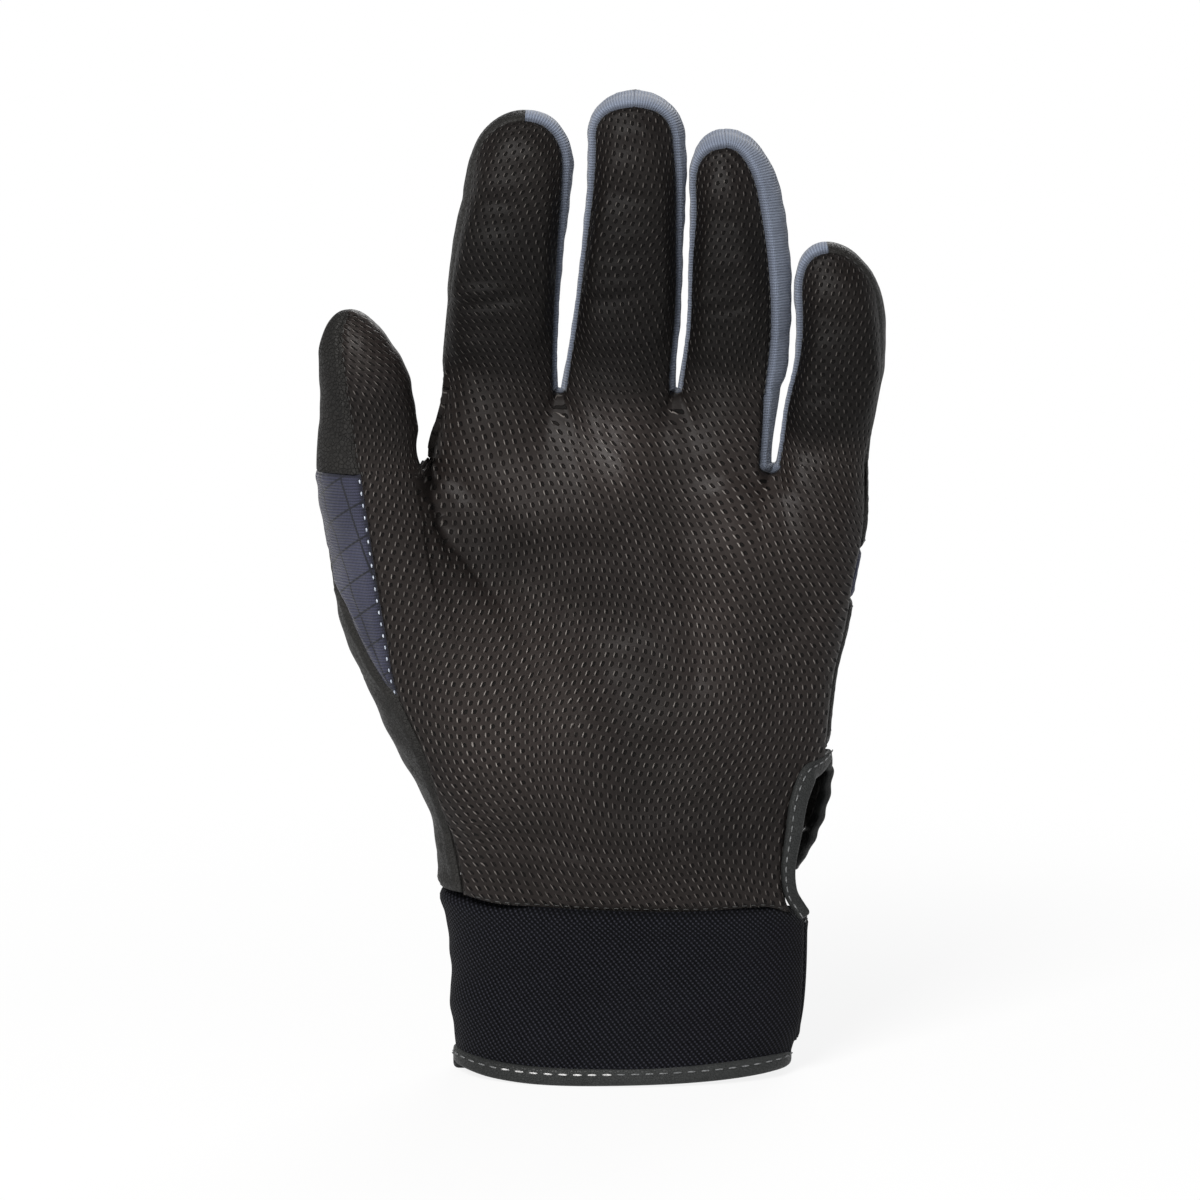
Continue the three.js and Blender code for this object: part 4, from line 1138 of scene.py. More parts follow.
@dataclass(frozen=True)
class Pile:
    """The fuzzy or hooked face of the fastener."""

    name: str = "fastener_pile"
    scale: float = 1500
    ground: Colour = (0.006, 0.006, 0.007)
    light: Colour = (0.024, 0.024, 0.026)

    def make(self) -> bpy.types.Material:
        """The material.

        Returns:
            The material.
        """
        bench = Bench(self.name)
        tufts = bench.grain(self.scale).ramp(0.0, 0.3)
        fuzz = bench.noise(self.scale * 2.4, 4)
        colour = bench.blend(tufts * 0.6 + fuzz * 0.4, self.ground, self.light)
        normal = bench.bump(tufts + fuzz * 0.6, 0.00035)
        return bench.finish(Base_Color=colour, Roughness=0.9 + fuzz * 0.08, Normal=normal,
                            Specular_IOR_Level=0.2)


@dataclass(frozen=True)
class Thread:
    """Sewing thread."""

    name: str = "thread_black"
    colour: Colour = (0.012, 0.012, 0.012)
    light: Colour = (0.035, 0.035, 0.034)

    def make(self) -> bpy.types.Material:
        """The material.

        Returns:
            The material.
        """
        bench = Bench(self.name)
        twist = bench.noise(2800, 2)
        colour = bench.blend(twist.ramp(0.35, 0.65), self.colour, self.light)
        return bench.finish(Base_Color=colour, Roughness=0.5 + twist * 0.2,
                            Normal=bench.bump(twist, 0.00006), Specular_IOR_Level=0.5)


@dataclass(frozen=True)
class Cloth:
    """What a piece is made of: its look, the name of its slot and its thickness."""

    look: bpy.types.Material
    slot: str
    wall: float = LEATHER


class Finishes:
    """All the glove's cloths and threads, made once."""

    def __init__(self) -> None:
        """Makes them."""
        self.palm = Cloth(EmbossedLeather().make(), "palm_leather")
        self.smooth = Cloth(GrainedLeather().make(), "smooth_leather")
        cap = GrainedLeather("cap_leather", (0.0088, 0.0085, 0.0081), (0.0205, 0.0198, 0.0187),
                             1100, 0.0002, 0.5)
        self.cap = Cloth(cap.make(), "smooth_leather")
        tape = GrainedLeather("binding_leather", (0.0175, 0.0185, 0.0185), (0.036, 0.038, 0.038),
                              1500, 0.00008, 0.42)
        self.binding = Cloth(tape.make(), "binding")
        self.tab = Cloth(self.binding.look, "smooth_leather", 1.75)
        self.side = Cloth(RibbedKnit("finger_side_knit").make(), "side_cloth", STRETCH)
        navy = RibbedKnit("navy_stretch", 0.66, False, (0.049, 0.052, 0.091), (0.007, 0.008, 0.018), True)
        self.navy = Cloth(navy.make(), "stretch_navy", STRETCH)
        band = RibbedKnit("knuckle_stretch", 0.9, True, (0.050, 0.055, 0.105), (0.020, 0.023, 0.048))
        self.band = Cloth(band.make(), "stretch_navy", STRETCH)
        self.foam = Cloth(FoamCloth().make(), "foam_cloth", FOAM)
        self.loops = Cloth(Pile("loop_pile", 1500).make(), "fastener", 1.0)
        hooks = Pile("hook_pile", 2300, (0.008, 0.008, 0.009), (0.03, 0.03, 0.032))
        self.hooks = Cloth(hooks.make(), "fastener", 1.0)
        label = GrainedLeather("label_cloth", (0.03, 0.032, 0.05), (0.05, 0.053, 0.08), 2600, 0.00005, 0.7)
        self.label = Cloth(label.make(), "stretch_navy", 0.5)
        self.black = Cloth(Thread().make(), "binding")
        grey = Thread("thread_grey", (0.075, 0.078, 0.08), (0.20, 0.205, 0.21))
        self.grey = Cloth(grey.make(), "binding")
        pale = Thread("thread_pale", (0.30, 0.34, 0.42), (0.62, 0.66, 0.74))
        self.pale = Cloth(pale.make(), "side_cloth")
        worn = Thread("thread_worn", (0.26, 0.26, 0.26), (0.72, 0.72, 0.72))
        self.worn = Cloth(worn.make(), "binding")


class StitchTree:
    """Geometry Nodes that lay stitches along paths."""

    INPUTS = (("Pitch", "NodeSocketFloat", 0.0024), ("Length", "NodeSocketFloat", 0.0017),
              ("Thickness", "NodeSocketFloat", 0.0004), ("Thread", "NodeSocketMaterial", None))

    def __init__(self) -> None:
        """Builds the tree, with inputs for pitch, length, thickness and material."""
        self.tree = bpy.data.node_groups.new("stitch_line", "GeometryNodeTree")
        face = self.tree.interface
        face.new_socket("Geometry", in_out="INPUT", socket_type="NodeSocketGeometry")
        face.new_socket("Geometry", in_out="OUTPUT", socket_type="NodeSocketGeometry")
        self.inputs = {}
        for name, kind, value in self.INPUTS:
            socket = face.new_socket(name, in_out="INPUT", socket_type=kind)
            if value is not None:
                socket.default_value = value
            self.inputs[name] = socket.identifier
        start = self._node("NodeGroupInput").outputs
        curve = self._node("GeometryNodeMeshToCurve", {"Mesh": start["Geometry"]})
        evened = self._node("GeometryNodeResampleCurve",
                            {"Curve": curve.outputs[0], "Length": start["Pitch"]}, {"mode": "LENGTH"})
        tangent = self._node("GeometryNodeInputTangent")
        turn = self._node("FunctionNodeAlignRotationToVector", {"Vector": tangent.outputs[0]}, {"axis": "Z"})
        ball = self._node("GeometryNodeMeshUVSphere", {"Segments": 6, "Rings": 4, "Radius": 0.5})
        size = self._node("ShaderNodeCombineXYZ",
                          {0: start["Thickness"], 1: start["Thickness"], 2: start["Length"]})
        shaped = self._node("GeometryNodeTransform",
                            {"Geometry": ball.outputs["Mesh"], "Scale": size.outputs[0]})
        laid = self._node("GeometryNodeInstanceOnPoints", {
            "Points": evened.outputs[0], "Instance": shaped.outputs[0], "Rotation": turn.outputs[0]})
        real = self._node("GeometryNodeRealizeInstances", {"Geometry": laid.outputs[0]})
        soft = self._node("GeometryNodeSetShadeSmooth", {"Geometry": real.outputs[0]})
        dyed = self._node("GeometryNodeSetMaterial",
                          {"Geometry": soft.outputs[0], "Material": start["Thread"]})
        self._node("NodeGroupOutput", {0: dyed.outputs[0]})

    def _node(self, kind: str, sockets: dict | None = None, settings: dict | None = None) -> bpy.types.Node:
        """Adds a node.

        Args:
            kind: the node's type.
            sockets: values or links of its inputs, by name or number.
            settings: its properties.

        Returns:
            The node.
        """
        node = self.tree.nodes.new(kind)
        for key, value in (settings or {}).items():
            setattr(node, key, value)
        for key, value in (sockets or {}).items():
            if isinstance(value, bpy.types.NodeSocket):
                self.tree.links.new(value, node.inputs[key])
            else:
                node.inputs[key].default_value = value
        return node

    def lay(self, name: str, paths: Sequence[Array], thread: bpy.types.Material, pitch: float,
            length: float, thickness: float) -> bpy.types.Object:
        """Lays stitches along paths.

        Args:
            name: of the piece.
            paths: open lines of points, in mm.
            thread: material.
            pitch: from stitch to stitch, in mm.
            length: of a stitch, in mm.
            thickness: of the thread, in mm.

        Returns:
            The stitches as one plain mesh.
        """
        points = np.concatenate(paths)
        edges, first = [], 0
        for path in paths:
            edges += [(first + k, first + k + 1) for k in range(len(path) - 1)]
            first += len(path)
        mesh = bpy.data.meshes.new(name + "_path")
        mesh.from_pydata(((points + ROW_SHIFT) / 1000).tolist(), edges, [])
        guide = bpy.data.objects.new(name + "_path", mesh)
        bpy.context.scene.collection.objects.link(guide)
        modifier = guide.modifiers.new("stitches", "NODES")
        modifier.node_group = self.tree
        for key, value in zip(self.inputs, (pitch / 1000, length / 1000, thickness / 1000, thread)):
            modifier[self.inputs[key]] = value
        seen = guide.evaluated_get(bpy.context.evaluated_depsgraph_get())
        plain = bpy.data.meshes.new_from_object(seen)
        plain.name = name
        bpy.data.objects.remove(guide)
        made = bpy.data.objects.new(name, plain)
        bpy.context.scene.collection.objects.link(made)
        return made


@dataclass
class Glove:
    """What the sub-assemblies share: cloths, stitches and how a finished piece joins the frame."""

    finishes: Finishes
    stitches: StitchTree

    def keep(self, made: bpy.types.Object, cloth: Cloth, body: str = "hand", nodes: Sequence[str] = (),
             digit: DigitForm | None = None) -> None:
        """Dresses a piece and, unless it belongs to a digit, joins it to its body.

        Args:
            made: the piece.
            cloth: what it is made of.
            body: the body it rides on, where no digit is given.
            nodes: the CAD nodes that it stands for.
            digit: given for a piece of a digit, whose transform is then baked in and which isn't joined to a
                body.
        """
        made.data.materials.clear()
        made.data.materials.append(cloth.look)
        if digit is None:
            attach(made, body)
        else:
            start = (np.array([digit.root_x, 0, digit.root]) + ROW_SHIFT) / 1000
            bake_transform(made)
        if nodes:
            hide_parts(*nodes)
            made.name = made.name.split(".")[0] + "_sewn"
        LOG.info("%s: %d faces on %s, for %s", made.name, len(made.data.polygons), body,
                 ", ".join(nodes) or "no node")

    def sew(self, name: str, paths: Sequence[Array], thread: Cloth, body: str = "hand",
            digit: DigitForm | None = None, **sizes: float) -> None:
        """Lays stitches along paths and dresses them, joining them to their body unless a digit is given.

        Args:
            name: of the piece.
            paths: open lines of points, in mm.
            thread: what the stitches are made of.
            body: the body they ride on.
            digit: given for stitches on a digit, which then aren't joined to a body.
            sizes: pitch, length and thickness, in mm.
        """
        self.keep(self.stitches.lay(name, paths, thread.look, **sizes), thread, body, (), digit)


def even(points: Array, count: int) -> Array:
    """Rows of points laid out afresh, even along each row and closer at its two ends.

    Args:
        points: (row, column) grid.
        count: even columns.

    Returns:
        The new grid, with four columns more.
    """
    pitch = 1 / (count - 1)
    close = [pitch * 0.33, pitch * 0.66, 1 - pitch * 0.66, 1 - pitch * 0.33]
    share = np.sort(np.concatenate([np.linspace(0, 1, count), close]))
    return np.array([np.stack([np.interp(share * at[-1], at, row[:, k]) for k in range(3)], -1)
                     for row, at in zip(points, lengths(points, 1, 1e-9))])


def even_like(vectors: Array, count: int) -> Array:
    """Vectors read afresh at count even places of their own order."""
    t = np.linspace(0, len(vectors) - 1, count)
    return np.stack([np.interp(t, np.arange(len(vectors)), vectors[:, k]) for k in range(3)], -1)


def share_steps(count: int, fine_start: bool = False, fine_end: bool = False) -> Array:
    """Even shares from 0 to 1, closer at a sewn end.

    Args:
        count: of the even steps.
        fine_start: whether the first edge is sewn.
        fine_end: whether the last edge is sewn.

    Returns:
        The shares.
    """
    pitch = 1 / count
    extra = [pitch * 0.33, pitch * 0.66] if fine_start else []
    extra += [1 - pitch * 0.66, 1 - pitch * 0.33] if fine_end else []
    return np.sort(np.concatenate([np.linspace(0, 1, count + 1), extra]))


def rolled(name: str, centre: Array, side: Array, normal: Array, width: Array | float, thickness: float,
           power: float = 2.6, around: int = 24) -> bpy.types.Object:
    """A rounded strip swept along a line, closed at both ends.

    Args:
        name: of the piece.
        centre: the line, in mm.
        side: unit vectors across the strip.
        normal: unit vectors through the strip.
        width: across, one value or one at each place.
        thickness: through the strip.
        power: of the section, 2 for an ellipse and more for a squarer one.
        around: points round the section.

    Returns:
        The mesh object.
    """
    turn = np.linspace(0, 2 * math.pi, around, endpoint=False)
    u, w = (np.sign(part) * np.abs(part) ** (2 / power) for part in (np.cos(turn), np.sin(turn)))
    run = lengths(centre)
    near = np.clip(np.minimum(run, run[-1] - run) / (thickness * 0.45), 0, 1)
    full = np.sqrt(np.clip(1 - (1 - near) ** 2, 0, 1)) * 0.999 + 0.001
    width = np.broadcast_to(width, run.shape)
    across = u[None, :, None] * (width / 2 * (0.5 + 0.5 * full))[:, None, None]
    through = w[None, :, None] * (thickness / 2 * full)[:, None, None]
    points = centre[:, None] + side[:, None] * across + normal[:, None] * through
    rows = len(centre)
    i, j = np.meshgrid(np.arange(rows - 1), np.arange(around), indexing="ij")
    k = (j + 1) % around
    quads = np.stack([i * around + j, i * around + k, (i + 1) * around + k, (i + 1) * around + j], -1)
    ends = [list(range(around))[::-1], list(range((rows - 1) * around, rows * around))]
    faces = quads.reshape(-1, 4).tolist() + ends
    flat = points.reshape(-1, 3)
    first = flat[faces[0]]
    if np.dot(np.cross(first[1] - first[0], first[2] - first[0]), first.mean(0) - centre[0]) < 0:
        faces = [face[::-1] for face in faces]
    around_run = turn / (2 * math.pi) * (float(np.mean(width)) + thickness) * 1.6
    weave = np.stack(np.broadcast_arrays(around_run, run[:, None], 6.0), -1).reshape(-1, 3)
    return shell(name, flat, faces, weave)


class PanelCut(Enum):
    """The stretches of a digit's loop that one cut piece covers."""

    PALM = (0, 1)
    RIGHT = (1, 2)
    BACK = (2, 3)
    LEFT = (3, 4)
    PALM_AND_RIGHT = (0, 2)
    BACK_AND_LEFT = (2, 4)
    RIGHT_AND_BACK = (1, 3)


@dataclass
class Digit(Glove):
    """One finger or the thumb: its cut pieces and the stitches along its seams."""

    form: DigitForm
    body: str
    roots: Array
    row_pitch: float = 0.85
    tip_pitch: float = 0.6
    pitch: float = 0.62
    emboss: float = 1.16
    tip_lift: float = 2.0
    side_lift: float = 0.66

    def rows(self) -> Array:
        """Row shares, closer over the rounded tip.

        Returns:
            The shares, from 0 at the root to 1 at the tip.
        """
        form = self.form
        shaft = np.linspace(0, form.shaft, int((form.length - form.tip_round) / self.row_pitch))
        tip = np.linspace(0, 1, int(form.tip_round * 1.35 / self.tip_pitch))[1:]
        return np.concatenate([shaft, form.shaft + (1 - form.shaft) * tip])

    def grid(self, cut: PanelCut) -> Array:
        """The grid of points of a cut piece.

        Args:
            cut: the stretches that the piece covers.

        Returns:
            The (row, column) grid, in mm.
        """
        row = self.rows()
        parts = []
        for k in range(*cut.value):
            part = self.form.place(row, np.linspace(k + 1e-4, k + 1 - 1e-4, 90))
            if parts:
                part[:, 0] = parts[-1][:, -1]
            parts.append(part)
        points = np.concatenate([part[:, (1 if n else 0):] for n, part in enumerate(parts)], axis=1)
        length = lengths(points[0])[-1]
        return even(points, max(int(round(length / self.pitch / 2)) * 2 + 1, 9))

    def inside(self, points: Array) -> Array:
        """A place within the digit for each point.

        Args:
            points: places on the surface, in mm.

        Returns:
            The places, in mm.
        """
        z = np.minimum(points[..., 2], self.form.round_from)
        section = self.form.section(z)
        return np.stack([section.centre, section.middle, z], -1)

    FOLDS = ((0.06, 0.35, 0.2), (0.13, 0.25, -0.3), (0.34, 0.6, -0.25), (0.395, 0.3, 0.3), (0.46, 0.2, -0.2),
             (0.665, 0.5, 0.2), (0.72, 0.22, -0.3))
    SWELLS = ((0.2, 0.12, 0.5), (0.51, 0.12, 0.6), (0.84, 0.12, 0.6))

    def relief(self, points: Array) -> Array:
        """Pads between the joints of a finger, the creases across them and slack in its shell.

        Args:
            points: places on the surface, in mm.

        Returns:
            The height at each place, in mm.
        """
        form = self.form
        z, x = points[..., 2], points[..., 0]
        t = (z - form.root) / form.length
        section = form.section(z)
        across = (x - section.centre) / section.half
        height = -0.7 + 2.9 * smooth(0.03, 0.42, t) - 2.1 * smooth(0.62, 1, t)
        for at, wide, rise in self.SWELLS:
            height += rise * hump(t - at, wide) * smooth(1.1, 0.2, np.abs(across + 0.1))
        for at, depth, slant in self.FOLDS:
            place = (t - at) * form.length + slant * 6 * across + 0.8 * np.sin(across * 3 + at * 9)
            height -= depth * hump(place, 1.3) * smooth(1.15, 0.35, np.abs(across + 0.35 * math.sin(at * 40)))
            height += depth * 0.4 * hump(place - 3.2, 2.4)
        height *= 0.3 if form is THUMB else 1.0
        return (height + 0.14 * np.sin(z * 0.52 + across * 2.2 + form.length)
                + 0.08 * np.sin(z * 1.1 - across * 3))

    def front_relief(self, points: Array) -> Array:
        """The palm's relief at the root, which turns into the finger's own."""
        own = smooth(0, 9, points[..., 2] - self.form.root)
        return self.relief(points) * own + HandShell.palm_relief(points) * (1 - own)

    def back_relief(self, points: Array) -> Array:
        """The back's relief at the root, which turns into the finger's own."""
        own = smooth(0, 9, points[..., 2] - self.form.root)
        return 0.5 * self.relief(points) * own + HandShell.back_relief(points) * (1 - own)

    def side_relief(self, points: Array) -> Array:
        """Small wrinkles across the knitted sides, and the swell at the root of the ring finger's.

        Args:
            points: places on the surface, in mm.

        Returns:
            The height at each place, in mm.
        """
        rise, y = points[..., 2] - self.form.root, points[..., 1]
        ripple = (0.09 * np.sin(rise * 0.55 + y * 0.25)
                  + 0.06 * np.sin(rise * 1.3 - y * 0.3 + self.form.length)) * smooth(0, 8, rise)
        if self.form is RING and points[..., 0].mean() > RING.edge(1, LOW_ROOT) - 4:
            ripple = ripple + 0.7 * smooth(0, 3, rise) * smooth(13, 6, rise)
        return ripple

    def wear(self, points: Array) -> Array:
        """Painted shade over the finger's root and a painted highlight towards its tip.

        Args:
            points: places on the surface, in mm.

        Returns:
            The painted shading, from -1 to 1.
        """
        t = (points[..., 2] - self.form.root) / self.form.length
        own = smooth(0, 12, points[..., 2] - self.form.root)
        base = -0.35 if self.form is THUMB else -1.0
        # Painted shading: dark over the finger, lighter towards the tip as a painted highlight, and blended
        # into the palm's painted shading at the root.
        worn = base + 0.6 * smooth(0.45, 0.85, t) - 0.1 * hump(t - 0.36, 0.1)
        return worn * own + HandShell.palm_painted_shading(points) * (1 - own)

    def panel(self, name: str, cut: PanelCut, cloth: Cloth) -> Panel:
        """Makes one cut piece and dresses it.

        Args:
            name: of the piece and of its CAD node.
            cut: the stretches that it covers.
            cloth: what it is made of.

        Returns:
            The panel.
        """
        form, points = self.form, self.grid(cut)
        open_edges = np.zeros(points.shape[:2], bool)
        open_edges[0, 1:-1] = True
        open_edges[-1, 1:-1] = cut not in (PanelCut.PALM, PanelCut.BACK)
        reliefs = {"palm_leather": self.front_relief, "side_cloth": self.side_relief}
        share = np.linspace(0, 1, points.shape[1])[None, :]
        turned = {"index_palm_side": 1 - share, "index_back": share, "little_palm_side": share,
                  "little_back": 1 - share}.get(name, 0 * share)
        lift = 0.0
        if form in (MIDDLE, RING):
            towards_back = {PanelCut.BACK: 1.0, PanelCut.RIGHT: self.side_lift * smooth(0.5, 1, share),
                            PanelCut.LEFT: self.side_lift * smooth(0.5, 0, share)}.get(cut, 0.0)
            near_tip = smooth(0.84, 0.97, (points[..., 2] - form.root) / form.length)
            lift = self.tip_lift * near_tip * towards_back
        made = Panel(name, points, self.inside(points), cloth.wall, open_edges=open_edges,
                     relief=reliefs.get(cloth.slot, self.back_relief), roll=0.5, roll_width=0.6, lift=lift,
                     ease=1 - 0.65 * smooth(0.6, 0.9, turned), wear=self.wear)
        made.weld(self.roots)
        finer = self.emboss if cloth.slot == "palm_leather" else 1.0
        made.place = made.place * finer + np.array([form.root_x, form.root])
        self.keep(made.mesh(), cloth, self.body, [name], form)
        return made

    def seam(self, panel: Panel) -> None:
        """Sews along both edges of the palm side.

        Args:
            panel: the palm side.
        """
        paths = [panel.outer[:-9, c] + panel.normals[:-9, c] * 0.02 for c in (2, -3)]
        self.sew(self.form.name + "_seam_thread", paths, self.finishes.black, self.body, self.form,
                 pitch=2.1, length=1.25, thickness=0.32)


@dataclass
class Fingers(Glove):
    """The four fingers and the thumb, whose first rows lie on the hand's last ones."""

    roots: Sequence[Array]

    def build(self) -> None:
        """Makes every digit."""
        roots = np.concatenate([even(row[None], 240)[0] for row in self.roots])
        f = self.finishes
        cuts = {
            INDEX: {"index_palm_side": (PanelCut.PALM, f.palm),
                    "index_inner_fourchette": (PanelCut.RIGHT, f.side),
                    "index_back": (PanelCut.BACK_AND_LEFT, f.smooth)},
            MIDDLE: {"middle_palm_side": (PanelCut.PALM, f.palm),
                     "middle_ring_side_fourchette": (PanelCut.RIGHT, f.side),
                     "middle_back": (PanelCut.BACK, f.smooth),
                     "middle_index_side_fourchette": (PanelCut.LEFT, f.side)},
            RING: {"ring_palm_side": (PanelCut.PALM, f.palm),
                   "ring_little_side_fourchette": (PanelCut.RIGHT, f.side),
                   "ring_back": (PanelCut.BACK, f.smooth),
                   "ring_middle_side_fourchette": (PanelCut.LEFT, f.side)},
            LITTLE: {"little_palm_side": (PanelCut.PALM, f.palm),
                     "little_back": (PanelCut.RIGHT_AND_BACK, f.smooth),
                     "little_inner_fourchette": (PanelCut.LEFT, f.side)},
            THUMB: {"thumb_palm_side": (PanelCut.PALM_AND_RIGHT, f.palm),
                    "thumb_cap": (PanelCut.BACK_AND_LEFT, f.cap)},
        }
        for form, panels in cuts.items():
            body = form.name if form is THUMB else form.name + "_finger"
            digit = Digit(f, self.stitches, form, body, roots)
            made = [digit.panel(name, cut, cloth) for name, (cut, cloth) in panels.items()]
            digit.seam(made[0])


@dataclass(frozen=True)
class Notch:
    """A web between two digits: columns of the palm and the back that stop short of the roots."""

    name: str
    left: DigitForm
    right: DigitForm
    depth: float = 0.5
    columns: int = 10

    @property
    def shares(self) -> Array:
        """Shares of the way across, closer at both ends."""
        return (1 - np.cos(math.pi * np.linspace(0, 1, self.columns + 1))) / 2

    def drop(self) -> Array:
        """How far each column stops short."""
        return self.depth * np.sin(math.pi * np.linspace(0, 1, self.columns + 1))


@dataclass
class HandShell(Glove):
    """The palm leather, the back, the panels of the thumb side, the webs and the slit's bindings.

    The palm and the back are cut into blocks of columns between lines up the hand. Odd blocks stop
    at a web and even ones at a digit's root. Blocks 0, 1, 7 and 8 stop at the low roots.
    """

    pitch: float = 0.78
    back_pitch: float = 0.95
    surplus: float = 1.28
    slit_top: float = 72.4
    stump_shift: float = 1.2
    fronts: dict[str, Array] = field(default_factory=dict)
    backs: dict[str, Array] = field(default_factory=dict)
    panels: dict[str, Panel] = field(default_factory=dict)
    slit_line: Array | None = None
    roots: list[Array] = field(default_factory=list)

    WEBS = (Notch("thumb_web", THUMB, INDEX, 2.2), Notch("index_middle_web", INDEX, MIDDLE),
            Notch("middle_ring_web", MIDDLE, RING), Notch("ring_little_web", RING, LITTLE, 2.0))
    WEB_BLOCKS = (1, 3, 5, 7)
    ROOT_BLOCKS = (0, 2, 4, 6, 8)
    LOW_BLOCKS = (0, 1, 7, 8)

    def build(self) -> None:
        """Makes every piece of the hand."""
        self.palm()
        self.back()
        self.thumb_side()
        self.gussets()
        self.ring_strip()
        self.slit()
        self.threads()

    def right_line(self, face: Face, z: Array) -> Array:
        """Place on the loop of the line where the palm or the back ends on the right.

        Args:
            face: the palm side or the back.
            z: heights.

        Returns:
            q at each height.
        """
        edge = Hand.q_of(Face.FRONT, Hand.edges(z)[1] - 0.6, z)
        slit = Hand.SLIT if face is Face.FRONT else Hand.SLIT_BACK
        low = Hand.q_of(face, np.minimum(Hand.table(slit)(z), Hand.edges(z)[1] - 0.02), z)
        above = self.slit_top + (1.5 if face is Face.FRONT else 2.5)
        return mix(low, edge, smooth(self.slit_top - 0.5, above, z))

    def _split(self, a: DigitForm, b: DigitForm, face: Face) -> tuple[Callable, Callable]:
        """The two seam lines beside the web between two fingers, which run on down the hand.

        Args:
            a: the left finger.
            b: the right finger.
            face: the palm side or the back.

        Returns:
            The left and the right line.
        """
        middle = (a.edge(1, LOW_ROOT) + b.edge(-1, LOW_ROOT)) / 2
        left, right = a.seam_x(1, face), b.seam_x(-1, face)
        half = (right - left) / 2
        return Hand.line(middle - half, left), Hand.line(middle + half, right)

    def front_lines(self) -> list[Callable[[Array], Array]]:
        """Lines of the palm from the thumb's seam to the little finger's.

        Returns:
            The lines, each as x at a height.
        """
        face = Face.FRONT
        return [Hand.table(Hand.THUMB_SEAM), Hand.line(THUMB.seam_x(1, face)),
                Hand.line(INDEX.edge(-1, LOW_ROOT) + 0.6, INDEX.seam_x(-1, face)),
                *self._split(INDEX, MIDDLE, face), *self._split(MIDDLE, RING, face),
                Hand.line(RING.edge(1, LOW_ROOT) - 2.4, RING.seam_x(1, face)),
                Hand.line(LITTLE.seam_x(-1, face))]

    def back_lines(self) -> list[Callable[[Array], Array]]:
        """Lines of the back from the little finger's seam to the thumb's.

        Returns:
            The lines, each as x at a height.
        """
        face = Face.BACK
        return [Hand.line(LITTLE.seam_x(-1, face)),
                Hand.line(RING.edge(1, LOW_ROOT) - 1.6, RING.seam_x(1, face)),
                *self._split(MIDDLE, RING, face)[::-1], *self._split(INDEX, MIDDLE, face)[::-1],
                Hand.line(INDEX.edge(-1, LOW_ROOT) + 0.3, INDEX.edge(-1, WEB) + 0.02),
                Hand.table(Hand.THUMB_BACK_SEAM)]

    def places(self, face: Face, z: Array) -> list[Array]:
        """Places on the loop of the lines of one face and of its end on the right, rising.

        Args:
            face: the palm side or the back.
            z: heights.

        Returns:
            q of each line.
        """
        if face is Face.FRONT:
            return [Hand.q_of(face, line(z), z) for line in self.front_lines()] + [self.right_line(face, z)]
        return [self.right_line(face, z)] + [Hand.q_of(face, line(z), z) for line in self.back_lines()]

    def _blocks(self, face: Face, webs: dict[int, Notch], pitch: float) -> tuple[list[Array], list[int]]:
        """Blocks of columns of the palm or the back.

        Args:
            face: the palm side or the back.
            webs: the blocks that stop at a web.
            pitch: of the columns.

        Returns:
            The shares across each block, closer at the panel's own edges, and the first columns.
        """
        lines = self.front_lines() if face is Face.FRONT else self.back_lines()
        x = [float(line(np.array(LOW_ROOT))) for line in lines]
        widths = [abs(b - a) for a, b in zip(x, x[1:])]
        end = LITTLE.edge(1, LOW_ROOT) - LITTLE.seam_x(-1, face)
        widths = widths + [end] if face is Face.FRONT else [end + 4] + widths
        shares = [webs[k].shares if k in webs else
                  share_steps(int(round(width * self.surplus / pitch / 2)) * 2, k == 0, k == len(widths) - 1)
                  for k, width in enumerate(widths)]
        return shares, [0, *accumulate(len(share) - 1 for share in shares)]

    def _low_block(self, face: Face, shares: Sequence[Array], v: Array, webs: dict[int, Notch]) -> Array:
        """Grid from the cuff's seam to the low roots.

        Args:
            face: the palm side or the back.
            shares: across each block.
            v: shares of the way up.
            webs: the blocks that stop at a web.

        Returns:
            The points.
        """
        z_flat = mix(palm_z(0.0), LOW_ROOT, v)
        q = Hand.columns(z_flat, self.places(face, z_flat), shares)
        x = Hand.point(q, z_flat[:, None])[..., 0]
        seam = palm_z(along(Hand.CUFF_SEAM if face is Face.FRONT else Hand.CUFF_BACK_SEAM, x / PALM_WIDTH))
        stop = np.full(q.shape[1], LOW_ROOT)
        first = 0
        for k, share in enumerate(shares):
            if k in webs and k in self.LOW_BLOCKS:
                stop[first:first + len(share)] -= webs[k].drop()
            first += len(share) - 1
        return Hand.point(q, mix(seam, stop[None, :], v[:, None]))

    def _high_block(self, face: Face, shares: Sequence[Array], starts: Sequence[int], webs: dict[int, Notch],
                    low: Array, pitch: float) -> Array:
        """Grid from the low roots to the webs, with points only in blocks 2 to 6.

        Args:
            face: the palm side or the back.
            shares: across each block.
            starts: first column of each block.
            webs: the blocks that stop at a web.
            low: the grid below it.
            pitch: of the rows.

        Returns:
            The points.
        """
        w = np.linspace(0, 1, int((WEB - LOW_ROOT) / pitch))[1:]
        z = np.maximum(mix(LOW_ROOT, WEB, w), LOW_ROOT + JUST_ABOVE)
        lines = self.front_lines()[2:8] if face is Face.FRONT else self.back_lines()[1:7]
        q = Hand.columns(z, [Hand.q_of(face, line(z), z) for line in lines], shares[2:7])
        stop = np.full(q.shape[1], WEB)
        for k in (3, 5):
            a = starts[k] - starts[2]
            stop[a:a + len(shares[k])] -= webs[k].drop()
        height = np.maximum(mix(LOW_ROOT, stop[None, :], w[:, None]), LOW_ROOT + JUST_ABOVE)
        high = np.repeat(low[-1:], len(w), axis=0)
        high[:, starts[2]:starts[7] + 1] = Hand.point(q, height)
        return high

